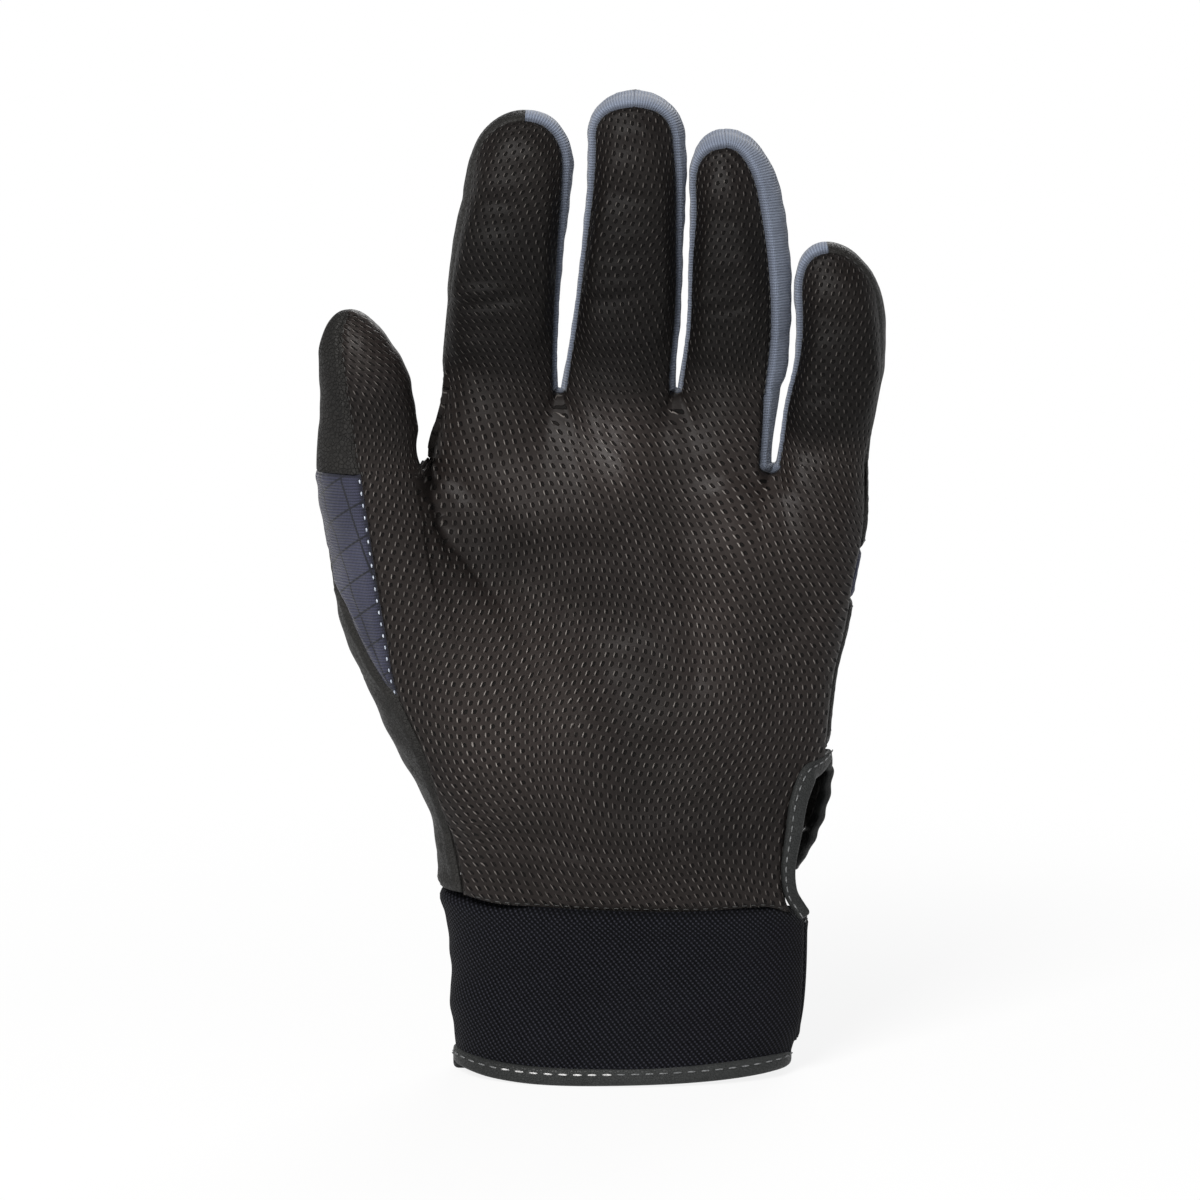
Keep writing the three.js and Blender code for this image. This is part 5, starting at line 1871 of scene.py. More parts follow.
    @staticmethod
    def _cells(points: Array, starts: Sequence[int], top: int) -> Array:
        """Which cells exist: all below row top, and above it those of blocks 2 to 6.

        Args:
            points: the grid.
            starts: first column of each block.
            top: the row at the low roots.

        Returns:
            The mask of cells.
        """
        cells = np.zeros((len(points) - 1, points.shape[1] - 1), bool)
        cells[:top] = True
        cells[top:, starts[2]:starts[7]] = True
        return cells

    def _ends(self, grid: Array, starts: Sequence[int], top: int, k: int) -> Array:
        """The last row of block k, at the low roots or at the webs."""
        return grid[top if k in self.LOW_BLOCKS else -1, starts[k]:starts[k + 1] + 1]

    def _join(self, made: Panel, cloth: Cloth) -> None:
        """Keeps a panel of the hand, which stands for the CAD node of its name."""
        self.panels[made.name] = made
        self.keep(made.mesh(), cloth, "hand", [made.name])

    def palm(self) -> None:
        """The palm leather, one piece up to the roots of the fingers."""
        webs = dict(zip(self.WEB_BLOCKS, self.WEBS))
        shares, starts = self._blocks(Face.FRONT, webs, self.pitch)
        v = share_steps(int((LOW_ROOT - CUFF_HEIGHT) / self.pitch), True)
        low = self._softened(self._low_block(Face.FRONT, shares, v, webs))
        high = self._high_block(Face.FRONT, shares, starts, webs, low, 0.7)
        first, last, top = starts[2], starts[7], len(low) - 1
        w = np.linspace(0, 1, len(high) + 1)[1:, None]
        near = smooth(7, 0, high[..., 0] - high[:, first:first + 1, 0])
        high[..., 0] += self.stump_shift * w * near * (np.arange(high.shape[1]) >= first)
        points = np.concatenate([low, high])
        cells = self._cells(points, starts, top)
        open_edges = np.zeros(points.shape[:2], bool)
        for k in self.ROOT_BLOCKS:
            row = top if k in self.LOW_BLOCKS else -1
            open_edges[row, starts[k] + (1 if k == 0 else 0):starts[k + 1] + (0 if k == 8 else 1)] = True
        open_edges[top, first + 1:last] = False
        ease = np.ones(points.shape[:2])
        ease[top - 3:, first:first + 8] = 0.35
        ease[top - 9:top + 1, starts[1] - 6:first + 7] = 0.12
        ease[:, -12:] = mix(1.0, 0.4, smooth(70, 80, points[:, -12:, 2]))
        made = Panel("palm_leather", points, np.array([0.0, -1.0, 0.0]), cells=cells, open_edges=open_edges,
                     relief=self.palm_relief, roll_width=0.75, ease=ease, fade=8, wear=self.palm_painted_shading)
        made.place = self._flat_place(points, starts)
        self._join(made, self.finishes.palm)
        for k, notch in webs.items():
            self.fronts[notch.name] = self._ends(points, starts, top, k)
        self.roots += [self._ends(made.outer, starts, top, k) for k in self.ROOT_BLOCKS]

    @staticmethod
    def _softened(points: Array) -> Array:
        """The palm with the valley beside the thumb's root drawn wide and soft.

        Args:
            points: the grid, in mm.

        Returns:
            The grid, with the y of that valley evened.
        """
        x, y, z = (points[..., k].copy() for k in range(3))
        left = np.linalg.norm(points - points[:, :1], axis=-1)
        mask = smooth(18, 6, x) * smooth(135.5, 128, z) * smooth(46, 56, z) * smooth(1.5, 9, left)
        for _ in range(240):
            near = y.copy()
            near[1:-1, 1:-1] = (y[:-2, 1:-1] + y[2:, 1:-1] + y[1:-1, :-2] + y[1:-1, 2:]) / 4
            y = mix(y, near, mask)
        return np.stack([x, y, z], -1)

    def _flat_place(self, points: Array, starts: Sequence[int]) -> Array:
        """u and v of the palm's emboss, which meet those of the fingers at their roots.

        Args:
            points: the grid, in mm.
            starts: first column of each block.

        Returns:
            u and v on the grid.
        """
        u, v = points[..., 0].copy(), points[..., 2].copy()
        extra = np.zeros_like(u)
        run = lengths(points, 1)
        for k in self.ROOT_BLOCKS:
            a, b = starts[k], starts[k + 1]
            middle = (a + b) // 2
            block = (run[:, a:b + 1] - run[:, middle:middle + 1]) - (u[:, a:b + 1] - u[:, middle:middle + 1])
            root = LOW_ROOT if k in self.LOW_BLOCKS else WEB
            extra[:, a:b + 1] = block * (1 - smooth(2, 24, root - points[:, a:b + 1, 2]))
        for k in self.WEB_BLOCKS:
            a, b = starts[k], starts[k + 1]
            t = np.linspace(0, 1, b - a + 1)[None, :]
            extra[:, a:b + 1] = mix(extra[:, a:a + 1], extra[:, b:b + 1], t)
        return np.stack([u + extra, v], -1)

    PADS = ((5, 135, 8.5, 8.5, 2.5), (36, 121, 12, 14, 2.9), (-15, 128, 11, 10, 1.7), (-10, 73, 19, 24, 3.7),
            (29, 84, 9, 17, 1.6), (2, 104, 11, 15, -2.2), (-41, 121, 6, 13, 0.5), (52, 128, 7, 9, 0.8),
            (20, 56, 15, 9, 1.0), (40, 66, 6, 12, 0.8))
    CREASES = ((-37, 128, -9, 108.5, 1.2, 6.5), (-9, 108.5, 3, 96, 1.1, 6.5), (3, 96, 5, 60, 1.0, 7),
               (16, 122, 23, 92, 0.9, 2.6), (35, 97, 50, 107.5, 0.6, 2.4), (22, 136, 47, 141, 0.5, 2.4),
               (-33, 138, -16, 118, 0.4, 2.6), (-14, 121, 4, 119, 0.4, 2.6), (-26, 57, 6, 52, 0.5, 2.4),
               (10, 51, 38, 55, 0.45, 2.2), (-20, 48, 22, 46.5, 0.4, 1.8), (-30, 72, -22, 52, 0.35, 2.2),
               (30, 60, 42, 66, 0.35, 1.8), (-1, 150, 3, 143, 0.3, 1.6), (44, 133, 50, 122, 0.3, 1.6),
               (26, 118, 34, 106, 0.35, 1.8), (10, 78, 26, 70, 0.35, 2.2), (34, 82, 46, 90, 0.35, 2.2))
    # Painted shading at x, z, width, height and amount: positive spots are painted highlights on the pads,
    # negative ones painted shade in the hollows and under the fingers.
    WORN = ((3, 142, 8, 9, 1.0), (32, 129, 9, 12, 1.0), (25, 103, 7, 14, 0.6), (-21, 89, 17, 19, 1.1),
            (-18, 134, 13, 9, 0.3), (-24, 121, 12, 9, -0.45), (-2, 112, 14, 8, -0.15), (8, 78, 7, 24, -0.25),
            (30, 58, 20, 14, -0.35), (-38, 70, 8, 30, -0.3), (4, 160, 45, 9, -0.7), (50, 100, 9, 30, 0.1))
    BACK_FOLDS = (((-25, 60), (10, 66), 0.4, 2.2), ((0, 82), (36, 76), 0.35, 2.4),
                  ((-20, 98), (6, 94), 0.3, 2.2))

    @classmethod
    def palm_painted_shading(cls, points: Array) -> Array:
        """Painted highlights on the pads and painted shade in the hollows between them and under the fingers.

        Args:
            points: places on the surface, in mm.

        Returns:
            The painted shading, from -1 (painted shade) to 1 (painted highlight).
        """
        x, z = points[..., 0], points[..., 2]
        return sum(amount * np.exp(-(((x - cx) / wide) ** 2 + ((z - cz) / tall) ** 2))
                   for cx, cz, wide, tall, amount in cls.WORN)

    @classmethod
    def palm_relief(cls, points: Array) -> Array:
        """Pads, the hollow of the palm, the puckers of the thumb's dart and slack folds.

        Args:
            points: places on the surface, in mm.

        Returns:
            The height at each place, in mm.
        """
        x, z = points[..., 0], points[..., 2]
        height = np.zeros_like(x)
        for cx, cz, wide, tall, rise in cls.PADS:
            height += rise * np.exp(-(((x - cx) / wide) ** 2 + ((z - cz) / tall) ** 2))
        off, near = cls._to_line(x, z, (-38.9, 137.5), (-32.6, 119.2))
        height += -0.4 * hump(off, 0.8) * near + 0.3 * hump(np.abs(off) - 2.4, 1.6) * near
        height += 0.16 * np.sin(z * 1.9 + x * 0.4) * hump(off, 4) * near
        for ax, az, bx, bz, depth, wide in cls.CREASES:
            off, near = cls._to_line(x, z, (ax, az), (bx, bz))
            off = off + 0.8 * np.sin((x + z) * 0.23 + ax) + 0.35 * np.sin((z - x) * 0.61)
            lobe = (0.55 if wide < 4 else 0) * hump(np.abs(off) - wide * 2.1, wide * 1.5)
            height += near * depth * (-hump(off, wide) + lobe)
        height -= 0.7 * smooth(145, 155, z) + 0.5 * smooth(130, 138, z) * smooth(42, 48, x)
        return (height + 0.13 * np.sin(x * 0.33 + z * 0.19 + np.sin(z * 0.13))
                + 0.09 * np.sin(z * 0.41 - x * 0.17 + 2 * np.sin(x * 0.09))
                + 0.05 * np.sin(x * 0.83 + z * 0.57))

    @classmethod
    def back_relief(cls, points: Array) -> Array:
        """Slack folds over the back.

        Args:
            points: places on the surface, in mm.

        Returns:
            The height at each place, in mm.
        """
        x, z = points[..., 0], points[..., 2]
        height = 0.14 * np.sin(x * 0.22 + z * 0.31) + 0.1 * np.sin(z * 0.47 - x * 0.12)
        for a, b, depth, wide in cls.BACK_FOLDS:
            off, near = cls._to_line(x, z, a, b)
            height += near * depth * (-hump(off, wide) + 0.6 * hump(np.abs(off) - wide * 2.1, wide * 1.5))
        return height

    @staticmethod
    def _to_line(x: Array, z: Array, a: Sequence[float], b: Sequence[float]) -> tuple[Array, Array]:
        """A crease's reach.

        Args:
            x: places across.
            z: heights.
            a: where the crease starts.
            b: where it ends.

        Returns:
            The signed distance to the crease's line, and how much of its effect reaches a place.
        """
        a, b = np.array(a, float), np.array(b, float)
        length = np.linalg.norm(b - a)
        d = (b - a) / length
        t = (x - a[0]) * d[0] + (z - a[1]) * d[1]
        near = smooth(-3, 3, t) * (1 - smooth(length - 4, length + 5, t))
        return (x - a[0]) * d[1] - (z - a[1]) * d[0], near

    def back(self) -> None:
        """The back of the hand, the stretch band over the knuckles and the leather above it."""
        f = self.finishes
        webs = dict(zip(self.WEB_BLOCKS, self.WEBS[::-1]))
        shares, starts = self._blocks(Face.BACK, webs, self.back_pitch)
        count = int((LOW_ROOT - CUFF_HEIGHT) / self.back_pitch)
        band = [int(round(count * 0.68)), int(round(count * 0.8))]
        low = self._low_block(Face.BACK, shares, np.linspace(0, 1, count + 1), webs)
        for name, rows, cloth, lift in (("back_of_hand", low[:band[0] + 1], f.smooth, 0.0),
                                        ("knuckle_stretch_band", low[band[0]:band[1] + 1], f.band, -0.1)):
            self._join(Panel(name, rows, rows * CORE, cloth.wall, lift=lift, relief=self.back_relief), cloth)
        points = np.concatenate([low[band[1]:], self._high_block(Face.BACK, shares, starts, webs, low, 0.8)])
        top = len(low) - band[1] - 1
        open_edges = np.zeros(points.shape[:2], bool)
        for k in self.ROOT_BLOCKS[:-1]:
            open_edges[top if k == 0 else -1, starts[k]:starts[k + 1] + 1] = True
        open_edges[top:, starts[7]] = True
        made = Panel("finger_base_back", points, points * CORE, cells=self._cells(points, starts, top),
                     open_edges=open_edges, relief=self.back_relief)
        self._join(made, f.smooth)
        for k, notch in webs.items():
            self.backs[notch.name] = self._ends(points, starts, top, k)[::-1]
        self.roots += [self._ends(made.outer, starts, top, k) for k in self.ROOT_BLOCKS[:-1]]
        self._index_edge()

    def _index_edge(self) -> None:
        """The leather round the left edge of the index finger's stump."""
        z = np.linspace(LOW_ROOT + 0.01, WEB, 22)
        seam = Hand.q_of(Face.FRONT, self.front_lines()[2](z), z) + 4
        back = Hand.q_of(Face.BACK, Hand.edges(z)[0] + 0.02, z)
        points = Hand.point(Hand.columns(z, [back, seam], [np.linspace(0, 1, 13)]), z[:, None])
        open_edges = np.zeros(points.shape[:2], bool)
        open_edges[-1] = open_edges[:, 0] = True
        made = Panel("index_base_edge", points, np.array([-1.0, 0.0, 0.0]), open_edges=open_edges, roll=0.2,
                     roll_width=0.4)
        self.roots.append(made.outer[-1])
        self.keep(made.mesh(), self.finishes.palm)

    def thumb_side(self) -> None:
        """The smooth panel and the ribbed stretch panel that wrap the thumb side."""
        side = ((-1, 0.026), (0, 0.03), (1, 0.028))
        edge = ((-1, 0.76), (0, 0.7), (0.7, 0.69), (0.81, 0.668), (0.85, 0.635), (0.884, 0.587),
                (0.904, 0.535), (0.934, 0.484), (0.965, 0.444), (1, 0.42))
        top = ((0, THUMB.root_share), (1, THUMB.root_share))
        f = self.finishes
        for name, low, high, rows, cloth in (("thumb_side_panel", side, edge, 100, f.smooth),
                                             ("thumb_stretch_panel", edge, top, 62, f.navy)):
            s = np.linspace(-1, 1, 240)
            v = share_steps(rows, True, name == "thumb_side_panel")[:, None]
            z = palm_z(mix(along(low, s), along(high, s), v))
            front = Hand.q_of(Face.FRONT, Hand.table(Hand.THUMB_SEAM)(z), z)
            back = Hand.q_of(Face.BACK, Hand.table(Hand.THUMB_BACK_SEAM)(z), z) - 4
            points = even(Hand.point(np.where(s < 0, mix(-0.5, back, -s), mix(-0.5, front, s)), z), 71)
            kinked = hump(points[1:-1, 1:-1, 2:] - 61.5, 7.0)
            for _ in range(30):
                near = (points[:-2, 1:-1] + points[2:, 1:-1] + points[1:-1, :-2] + points[1:-1, 2:]) / 4
                points[1:-1, 1:-1] = mix(points[1:-1, 1:-1], near, kinked)
            place = np.stack([points[..., 0] - points[..., 1], points[..., 2]], -1)
            self._join(Panel(name, points, np.array([-1.0, 0.0, 0.0]), cloth.wall, relief=self.side_relief,
                             roll=0.5, place=place), cloth)

    def side_relief(self, points: Array) -> Array:
        """Slack in the panels of the thumb side."""
        y, z = points[..., 1], points[..., 2]
        return 0.2 * np.sin(z * 0.28 + y * 0.2) + 0.12 * np.sin(z * 0.7 - y * 0.3)

    def gussets(self) -> None:
        """The folded cloth at the bottom of each crotch."""
        f = self.finishes
        for notch in self.WEBS:
            front, back = self.fronts[notch.name], self.backs[notch.name]
            s = np.linspace(0, 1, notch.columns + 1)
            height = min(notch.left.root, notch.right.root)
            left, right = notch.left.edge(1, height), notch.right.edge(-1, height)
            x = (left + right) / 2 - (right - left) / 2 * np.cos(math.pi * s)
            leather = notch.left is THUMB
            z = height + (1.4 if leather else -0.35) * np.sin(math.pi * s)
            middle = (front[:, 1] + back[:, 1]) / 2
            rows = []
            for q in np.linspace(-1, 1, 25):
                far = front if q < 0 else back
                rows.append(np.stack([mix(x, far[:, 0], q * q), mix(middle, far[:, 1], abs(q) ** 0.91),
                                      mix(z, far[:, 2], q * q)], -1))
            points = np.array(rows)
            open_edges = np.zeros(points.shape[:2], bool)
            open_edges[1:-1, 0] = open_edges[1:-1, -1] = True
            cloth = f.palm if leather else f.side
            made = Panel(notch.name, points, np.array([0.0, 0.0, 1.0]), cloth.wall, open_edges=open_edges,
                         roll=0.06 if leather else 0.35, roll_width=0.5)
            self.roots += [made.outer[:, 0], made.outer[:, -1]]
            self.keep(made.mesh(), cloth)

    def ring_strip(self) -> None:
        """The knitted strip on the ring finger's stump, above the little finger's crotch."""
        z = np.linspace(LOW_ROOT + 0.01, WEB, 24)
        front = Hand.q_of(Face.FRONT, self.front_lines()[7](z), z)
        back = Hand.q_of(Face.BACK, self.back_lines()[1](z), z)
        points = Hand.point(Hand.columns(z, [front, back], [share_steps(20, True, True)]), z[:, None])
        open_edges = np.zeros(points.shape[:2], bool)
        open_edges[0, 1:-1] = open_edges[-1, 1:-1] = True
        cloth = self.finishes.side
        made = Panel("ring_base_side", points, np.array([1.0, 0.0, 0.0]), cloth.wall, open_edges=open_edges,
                     roll=0.4, roll_width=0.6)
        self.roots.append(made.outer[-1])
        self.keep(made.mesh(), cloth)

    def slit(self) -> None:
        """The folded strip that binds the slit, up its palm edge, over its top and down the back."""
        low, top, back_top, back_low, step = 40.3, 72.2, 70.6, 44.5, 0.37
        up, down = np.linspace(low, top, 95), np.linspace(back_top, back_low, 80)
        front = Hand.q_of(Face.FRONT, Hand.table(Hand.SLIT)(up), up)
        back_x = np.minimum(Hand.table(Hand.SLIT_BACK)(down), Hand.edges(down)[1] - 0.02)
        back = Hand.q_of(Face.BACK, back_x, down)
        t = np.linspace(0, 1, 42)[1:-1]
        q = np.concatenate([front, mix(front[-1], back[0], t), back])
        z = np.concatenate([up, mix(top, back_top, t) + 1.3 * np.sin(math.pi * t), down])
        path = Hand.point(q, z)
        over = Hand.point(q + 0.02, z) - Hand.point(q - 0.02, z)
        rise = Hand.point(q, z + 0.4) - Hand.point(q, z - 0.4)
        normal = unit(np.cross(over, rise))
        tail = np.linspace(1, 0, 14)[:-1, None]
        path = np.concatenate([path[:1] + tail * np.array([2.5, -0.9, -3.6]), path])
        normal = np.concatenate([normal[:1] + 0 * tail, normal])
        path, normal = self._eased(path, 12), self._eased(normal, 22)
        path = even(path[None], 220)[0]
        tangent = np.gradient(path, axis=0)
        side = unit(np.cross(tangent, even_like(normal, len(path))))
        normal = unit(np.cross(side, tangent))
        apex = int(np.argmax(path[:, 2]))
        run = np.arange(len(path)) * step
        beyond = smooth(apex * step + 2, apex * step + 9, run)
        frill = 0.22 * np.sin(run * 1.15) * beyond
        over_top = hump(run - apex * step, 4.5)
        outwards = 0.75 + 0.8 * smooth(10, 24, run) - 0.75 * over_top - 1.3 * beyond
        centre = path + side * outwards[:, None] + normal * (0.25 + frill - 0.7 * over_top)[:, None]
        wide = along(((0, 3.0), (12, 3.2), (24, 3.9), (40, 4.5), (60, 4.3), (80, 4.0)), run) - 1.6 * over_top
        made = rolled("slit_binding", centre, side, normal, wide, 2.2, power=3.0)
        self.keep(made, self.finishes.binding, "hand", ["slit_palm_binding", "slit_back_binding"])
        self.slit_line = centre[:apex] - side[:apex] * 1.1 + normal[:apex] * 1.12

    @staticmethod
    def _eased(points: Array, times: int) -> Array:
        """Points drawn towards their neighbours, the ends kept.

        Args:
            points: a line, in mm.
            times: how often.

        Returns:
            The eased line.
        """
        for _ in range(times):
            inner = (points[:-2] + 2 * points[1:-1] + points[2:]) / 4
            points = np.concatenate([points[:1], inner, points[-1:]])
        return points

    def threads(self) -> None:
        """Stitches along the hand's seams."""
        f, stretch = self.finishes, self.panels["thumb_stretch_panel"]
        self.sew("slit_thread", [self.slit_line[4:]], f.grey, pitch=2.3, length=1.6, thickness=0.36)
        path = stretch.outer[2:-2, -3] + stretch.normals[2:-2, -3] * 0.15
        self.sew("thumb_seam_thread", [path], f.pale, pitch=2.6, length=0.95, thickness=0.42)
        lower = self.panels["palm_leather"].outer[2, 14:-8]
        self.sew("palm_seam_thread", [lower], f.black, pitch=2.2, length=1.4, thickness=0.34)
        rows = [self.panels["back_of_hand"].outer[-3, 3:-3], self.panels["finger_base_back"].outer[2, 3:-3]]
        self.sew("knuckle_thread", rows, f.black, pitch=2.6, length=1.8, thickness=0.4)


@dataclass
class Cuff(Glove):
    """The padded cuff, its hem, the strap over its back and the patches under the strap."""

    LEFT: Stations = ((0, -0.33), (0.15, -0.338), (0.6, -0.344), (0.9, -0.356), (1, -0.3696))
    RIGHT: Stations = ((0, 0.424), (0.1, 0.442), (0.35, 0.462), (0.75, 0.469), (1, 0.4646))
    TOP: Stations = (*Hand.CUFF_SEAM[:-1], (0.41, 0), (0.45, -0.012), (0.475, -0.03))
    RISE: Stations = ((-0.33, 1), (-0.26, 0.4), (-0.14, 0), (0.05, 0.06), (0.25, 0.35), (0.43, 0.8))
    depth: float = 18.5
    power: float = 2.3
    hem: float = 4.2
    rise: float = 1.8
    turns: tuple[float, float] = (-0.8, 0.992)
    worn: tuple[float, float] = (-21.5, 2)

    def point(self, turn: Array, z: Array | float, stand: Array | float = 0.0) -> Array:
        """Points of the cuff.

        Args:
            turn: 0 to 1 over the palm side from the thumb side, and on to 2 over the back.
            z: heights.
            stand: how far the points stand off the cuff.

        Returns:
            The points.
        """
        turn, z, stand = np.broadcast_arrays(np.asarray(turn, float), np.asarray(z, float), stand)
        k = np.mod(turn, 2)
        front = k <= 1
        share = np.where(front, (1 - np.cos(math.pi * k)) / 2, (1 + np.cos(math.pi * (k - 1))) / 2)
        t = np.clip(z / CUFF_HEIGHT, 0, 1)
        left, right = PALM_WIDTH * along(self.LEFT, t) - stand, PALM_WIDTH * along(self.RIGHT, t) + stand
        u = np.abs(2 * share - 1)
        reach = (self.depth + stand) * np.clip(1 - u**self.power, 0, 1) ** (1 / self.power)
        return np.stack([mix(left, right, share), np.where(front, -reach, reach), z], -1)

    def rise_at(self, turn: Array, x: Array) -> Array:
        """How far the hem lifts off the floor."""
        return np.where(np.mod(turn, 2) <= 1, self.rise * along(self.RISE, x / PALM_WIDTH), 0)

    def build(self) -> None:
        """Makes every piece of the cuff."""
        turn = self._even(np.linspace(*self.turns, 900), 250)
        x = self.point(turn, CUFF_HEIGHT / 2)[:, 0]
        share = x / PALM_WIDTH
        seam = np.where(np.mod(turn, 2) <= 1, along(self.TOP, share), along(Hand.CUFF_BACK_SEAM, share))
        top = palm_z(seam)
        low = self.hem + self.rise_at(turn, x)
        points = self.point(turn, mix(low - 1.0, top, share_steps(42, False, True)[:, None]))
        open_edges = np.zeros(points.shape[:2], bool)
        open_edges[0] = True
        made = Panel("wrist_cuff", points, points * CORE + np.array([0.4, 0, 0]), FOAM, open_edges=open_edges,
                     relief=self.relief, roll=1.5, roll_width=1.5)
        self.keep(made.mesh(), self.finishes.foam, "hand", ["wrist_cuff"])
        self._hem(turn, x)
        self._strap()

    def _even(self, turn: Array, count: int) -> Array:
        """Turns even along the cuff."""
        run = lengths(self.point(turn, CUFF_HEIGHT / 2))
        return np.interp(np.linspace(0, run[-1], count), run, turn)

    def relief(self, points: Array) -> Array:
        """Soft swells of the foam and slack near the hem.

        Args:
            points: places on the surface, in mm.

        Returns:
            The height at each place, in mm.
        """
        x, y, z = points[..., 0], points[..., 1], points[..., 2]
        swell = 0.5 * np.sin(np.clip((z - 5) / 34, 0, 1) * math.pi)
        folds = 0.28 * np.sin(z * 0.3 + x * 0.09) + 0.16 * np.sin(z * 0.55 - x * 0.13 + 1)
        return swell + folds + 0.06 * np.sin(y * 0.5 + z)

    def _hem(self, turn: Array, x: Array) -> None:
        """The folded binding along the lower edge, with its stitches.

        Args:
            turn: turns round the cuff.
            x: place across at each turn.
        """
        f = self.finishes
        base = self.point(turn, self.hem / 2)
        side = np.gradient(base, axis=0)
        side[:, 2] = 0
        side = unit(side)
        normal = np.stack([side[:, 1], -side[:, 0], np.zeros(len(side))], -1)
        normal *= np.sign((normal * (base - np.array([4, 0, 0]))).sum(1).mean())
        base[:, 2] = self.rise_at(turn, x) + self.hem / 2
        upright = np.repeat(np.array([[0.0, 0.0, 1.0]]), len(base), axis=0)
        made = rolled("cuff_hem", base - normal * 1.1, upright, normal, self.hem, FOAM + 1.8, power=3.4,
                      around=32)
        self.keep(made, f.binding, "hand", ["cuff_hem"])
        line = base + normal * 0.98
        line[:, 2] += 0.75
        cut = np.flatnonzero((line[:, 0] > self.worn[0]) & (line[:, 0] < self.worn[1]) & (line[:, 1] < 0))
        self.sew("hem_thread", [line[4:cut[0] + 1], line[cut[-1]:-4]], f.grey, pitch=3.0, length=2.1,
                 thickness=0.42)
        self.sew("hem_worn_thread", [line[cut[0]:cut[-1] + 1]], f.worn, pitch=3.0, length=2.2, thickness=0.5)

    def _layer(self, name: str, turns: tuple[float, float], span: tuple[float, float],
               stand: float, cloth: Cloth, body: str, roll: float = 0.3, columns: int = 60,
               climb: Stations | None = None) -> Panel:
        """A layer lying over the back of the cuff.

        Args:
            name: of the piece and of its CAD node.
            turns: where it starts and ends round the cuff.
            span: its lower and upper edge.
            stand: how far it stands off the cuff.
            cloth: what it is made of.
            body: the body it rides on.
            roll: how deep its edges dip.
            columns: of its grid.
            climb: share of stand at shares of its length, where it rises along it.

        Returns:
            The panel.
        """
        turn = self._even(np.linspace(*turns, 300), columns)
        steps = share_steps(max(int((span[1] - span[0]) / 0.9), 8), True, True)
        rise = stand if climb is None else stand * along(climb, (turn - turns[0]) / (turns[1] - turns[0]))
        points = self.point(turn, mix(*span, steps)[:, None], rise)
        made = Panel(name, points, points * CORE, cloth.wall, roll=roll, roll_width=0.8)
        self.keep(made.mesh(), cloth, body, [name])
        return made

    def _strap(self) -> None:
        """The strap with its patches and tab, and the label inside the cuff."""
        f, patch, climb = self.finishes, (8.4, 31.4), ((0, 0), (0.12, 0.4), (0.3, 1), (1, 1))
        self._layer("loop_patch", (1.27, 1.72), patch, 1.45, f.loops, "hand")
        self._layer("size_label", (1.4, 1.62), (22, 34), -2.65, f.label, "hand", 0.1, 30)
        strap = self._layer("closure_strap", (1.0, 1.64), (5.4, 34.4), 5.55, f.foam, "strap", 0.5, 110, climb)
        self._layer("hook_patch", (1.36, 1.6), patch, 2.9, f.hooks, "strap", 0.2, 40)
        tab = self._layer("strap_end_tab", (1.6405, 1.7), patch, 5.325, f.tab, "strap", 0.15, 16)
        edges = [strap.outer[3, 3:-3], strap.outer[-4, 3:-3], strap.outer[3:-3, -5]]
        self.sew("strap_thread", edges, f.grey, "strap", pitch=2.8, length=2.0, thickness=0.4)
        box = [tab.outer[3:-3, 3], tab.outer[3:-3, -4], tab.outer[3, 3:-3], tab.outer[-4, 3:-3]]
        self.sew("tab_thread", box, f.grey, "strap", pitch=2.2, length=1.5, thickness=0.36)


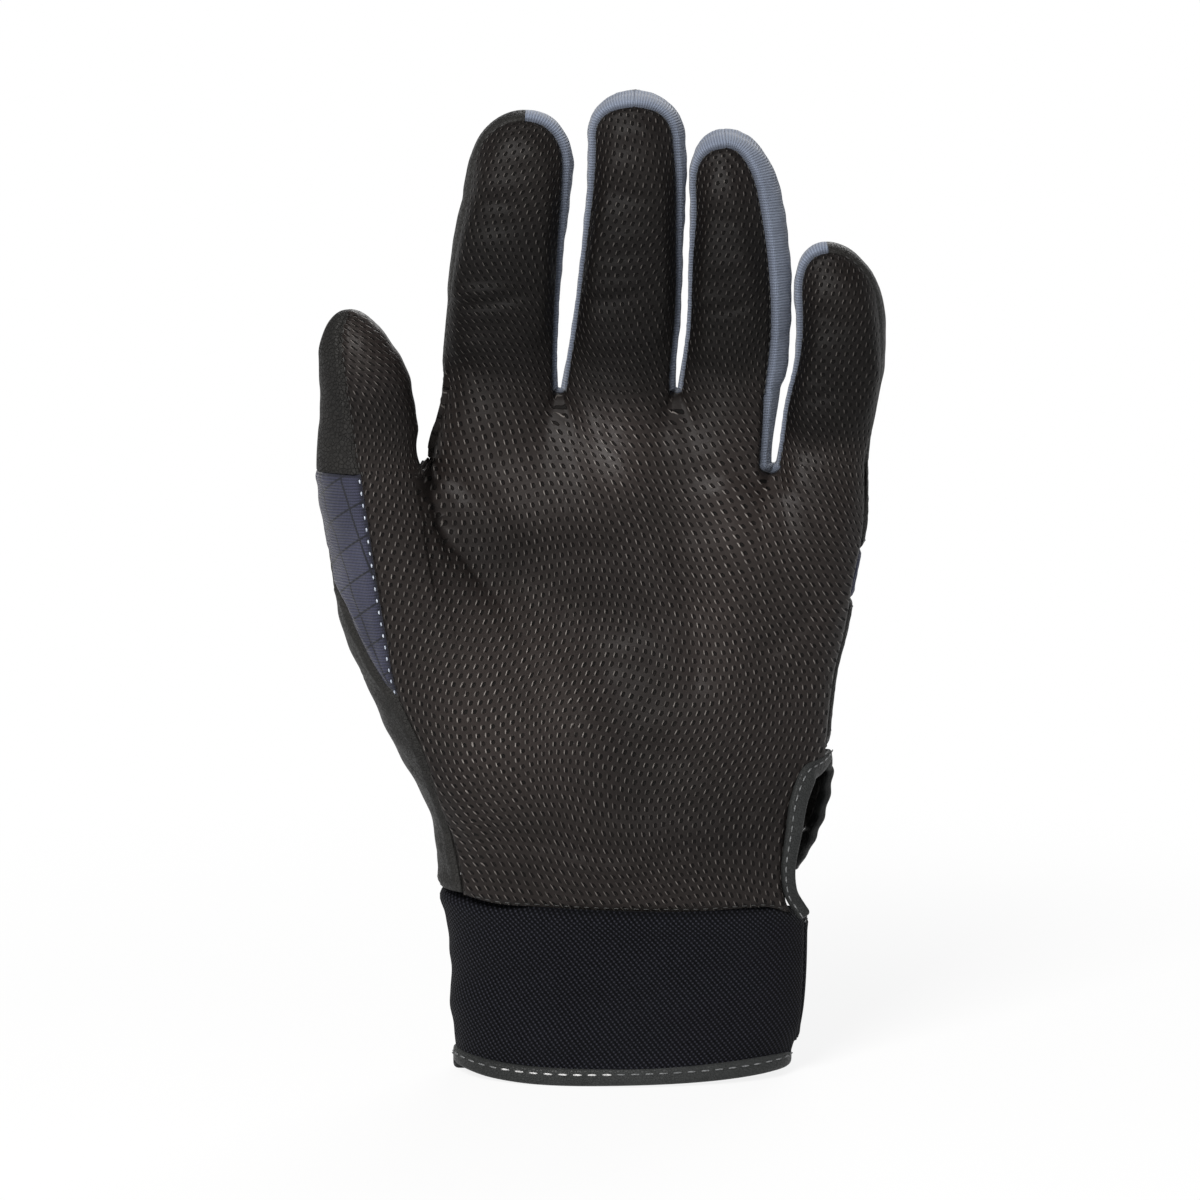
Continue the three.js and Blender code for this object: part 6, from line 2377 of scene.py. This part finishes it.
@dataclass(frozen=True)
class Studio:
    """Floor, soft lights and the camera."""

    distance: float = 1.5
    elevation: float = 9.0
    look_height: float = 0.107
    span: float = 0.2683

    def build(self) -> None:
        """Makes the stage, the lamps, the world and the camera."""
        scene = bpy.context.scene
        scene.view_settings.view_transform = "Standard"
        self._world(scene)
        self._floor()
        for name, place, size, power, tint in (
                ("key_light", (-0.45, -1.08, 0.95), 0.5, 25.0, (1.0, 0.985, 0.965)),
                ("fill_light", (0.95, -1.05, 0.45), 0.9, 1.6, (0.95, 0.975, 1.0)),
                ("back_light", (0.35, 1.25, 0.95), 0.8, 11.0, (1.0, 1.0, 1.0))):
            lamp = bpy.data.lights.new(name, "AREA")
            lamp.size, lamp.energy, lamp.color = size, power, tint
            made = bpy.data.objects.new(name, lamp)
            made.location = place
            made.rotation_euler = (Vector((0, 0, 0.1)) - Vector(place)).to_track_quat("-Z", "Y").to_euler()
            scene.collection.objects.link(made)
        camera = bpy.data.cameras.new("camera")
        camera.sensor_width, camera.lens = 36, 36 * self.distance / self.span
        camera.clip_start, camera.clip_end = 0.05, 30
        seen = bpy.data.objects.new("camera", camera)
        tilt = math.radians(self.elevation)
        target = Vector((0, 0, self.look_height))
        seen.location = target + self.distance * Vector((0, -math.cos(tilt), math.sin(tilt)))
        seen.rotation_euler = (target - seen.location).to_track_quat("-Z", "Y").to_euler()
        scene.collection.objects.link(seen)
        scene.camera = seen

    def _world(self, scene: bpy.types.Scene) -> None:
        """A plain dim world above the backdrop.

        Args:
            scene: the scene that it lights.
        """
        world = bpy.data.worlds.new("studio")
        scene.world = world
        world.use_nodes = True
        plain = world.node_tree.nodes["Background"]
        plain.inputs["Color"].default_value = (0.95, 0.97, 1.0, 1)
        plain.inputs["Strength"].default_value = 0.2

    def _floor(self) -> None:
        """A pale floor and a low round backdrop that show white, the floor with the shadow."""
        reach, sides = 4.2, 48
        turn = np.linspace(0, 2 * math.pi, sides, endpoint=False)
        ring = [(reach * math.cos(t), reach * math.sin(t)) for t in turn]
        floor = [(x, y, 0) for x, y in ring]
        wall = floor + [(x, y, 0.95) for x, y in ring]
        panes = [[(k + 1) % sides, k, k + sides, (k + 1) % sides + sides] for k in range(sides)]
        for name, places, faces in (("floor", floor, [list(range(sides))]), ("backdrop", wall, panes)):
            mesh = bpy.data.meshes.new(name)
            mesh.from_pydata(places, [], faces)
            made = bpy.data.objects.new(name, mesh)
            bpy.context.scene.collection.objects.link(made)
            mesh.materials.append(self._pale(name))

    @staticmethod
    def _pale(name: str) -> bpy.types.Material:
        """Pale matt finish that shows white to the camera and in reflections, but for the shadow.

        Args:
            name: of the piece that wears it.

        Returns:
            The material.
        """
        bench = Bench("pale_" + name)
        glow = bench.add("ShaderNodeEmission", None, {"Color": (1, 1, 1, 1), "Strength": 1.0})
        ray = bench.add("ShaderNodeLightPath", None, None, "Is Camera Ray")
        for kind in ("Is Glossy Ray", "Is Transmission Ray"):
            ray = ray.upper(bench.add("ShaderNodeLightPath", None, None, kind))
        place = bench.add("ShaderNodeNewGeometry", None, None, "Position")
        far = bench.add("ShaderNodeVectorMath", {"operation": "LENGTH"}, {0: place}, out="Value")
        pale = bench.blend(far.ramp(0.2, 0.7), (0.86, 0.86, 0.86), (0.3, 0.3, 0.3))
        matt = bench.add("ShaderNodeBsdfDiffuse", None, {"Color": pale})
        surface = bench.add("ShaderNodeMixShader", None,
                            {0: ray * far.ramp(0.05, 0.35, 0.86, 1.0), 1: matt, 2: glow})
        output = bench.tree.nodes.new("ShaderNodeOutputMaterial")
        bench.tree.links.new(surface.socket, output.inputs["Surface"])
        return bench.material


def main() -> None:
    """Loads the frame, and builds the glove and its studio."""
    logging.basicConfig(level=logging.INFO, format="%(name)s: %(message)s")
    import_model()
    finishes = Finishes()
    stitches = StitchTree()
    Studio().build()
    hand = HandShell(finishes, stitches)
    hand.build()
    Fingers(finishes, stitches, hand.roots).build()
    Cuff(finishes, stitches).build()


if __name__ == "__main__":
    main()
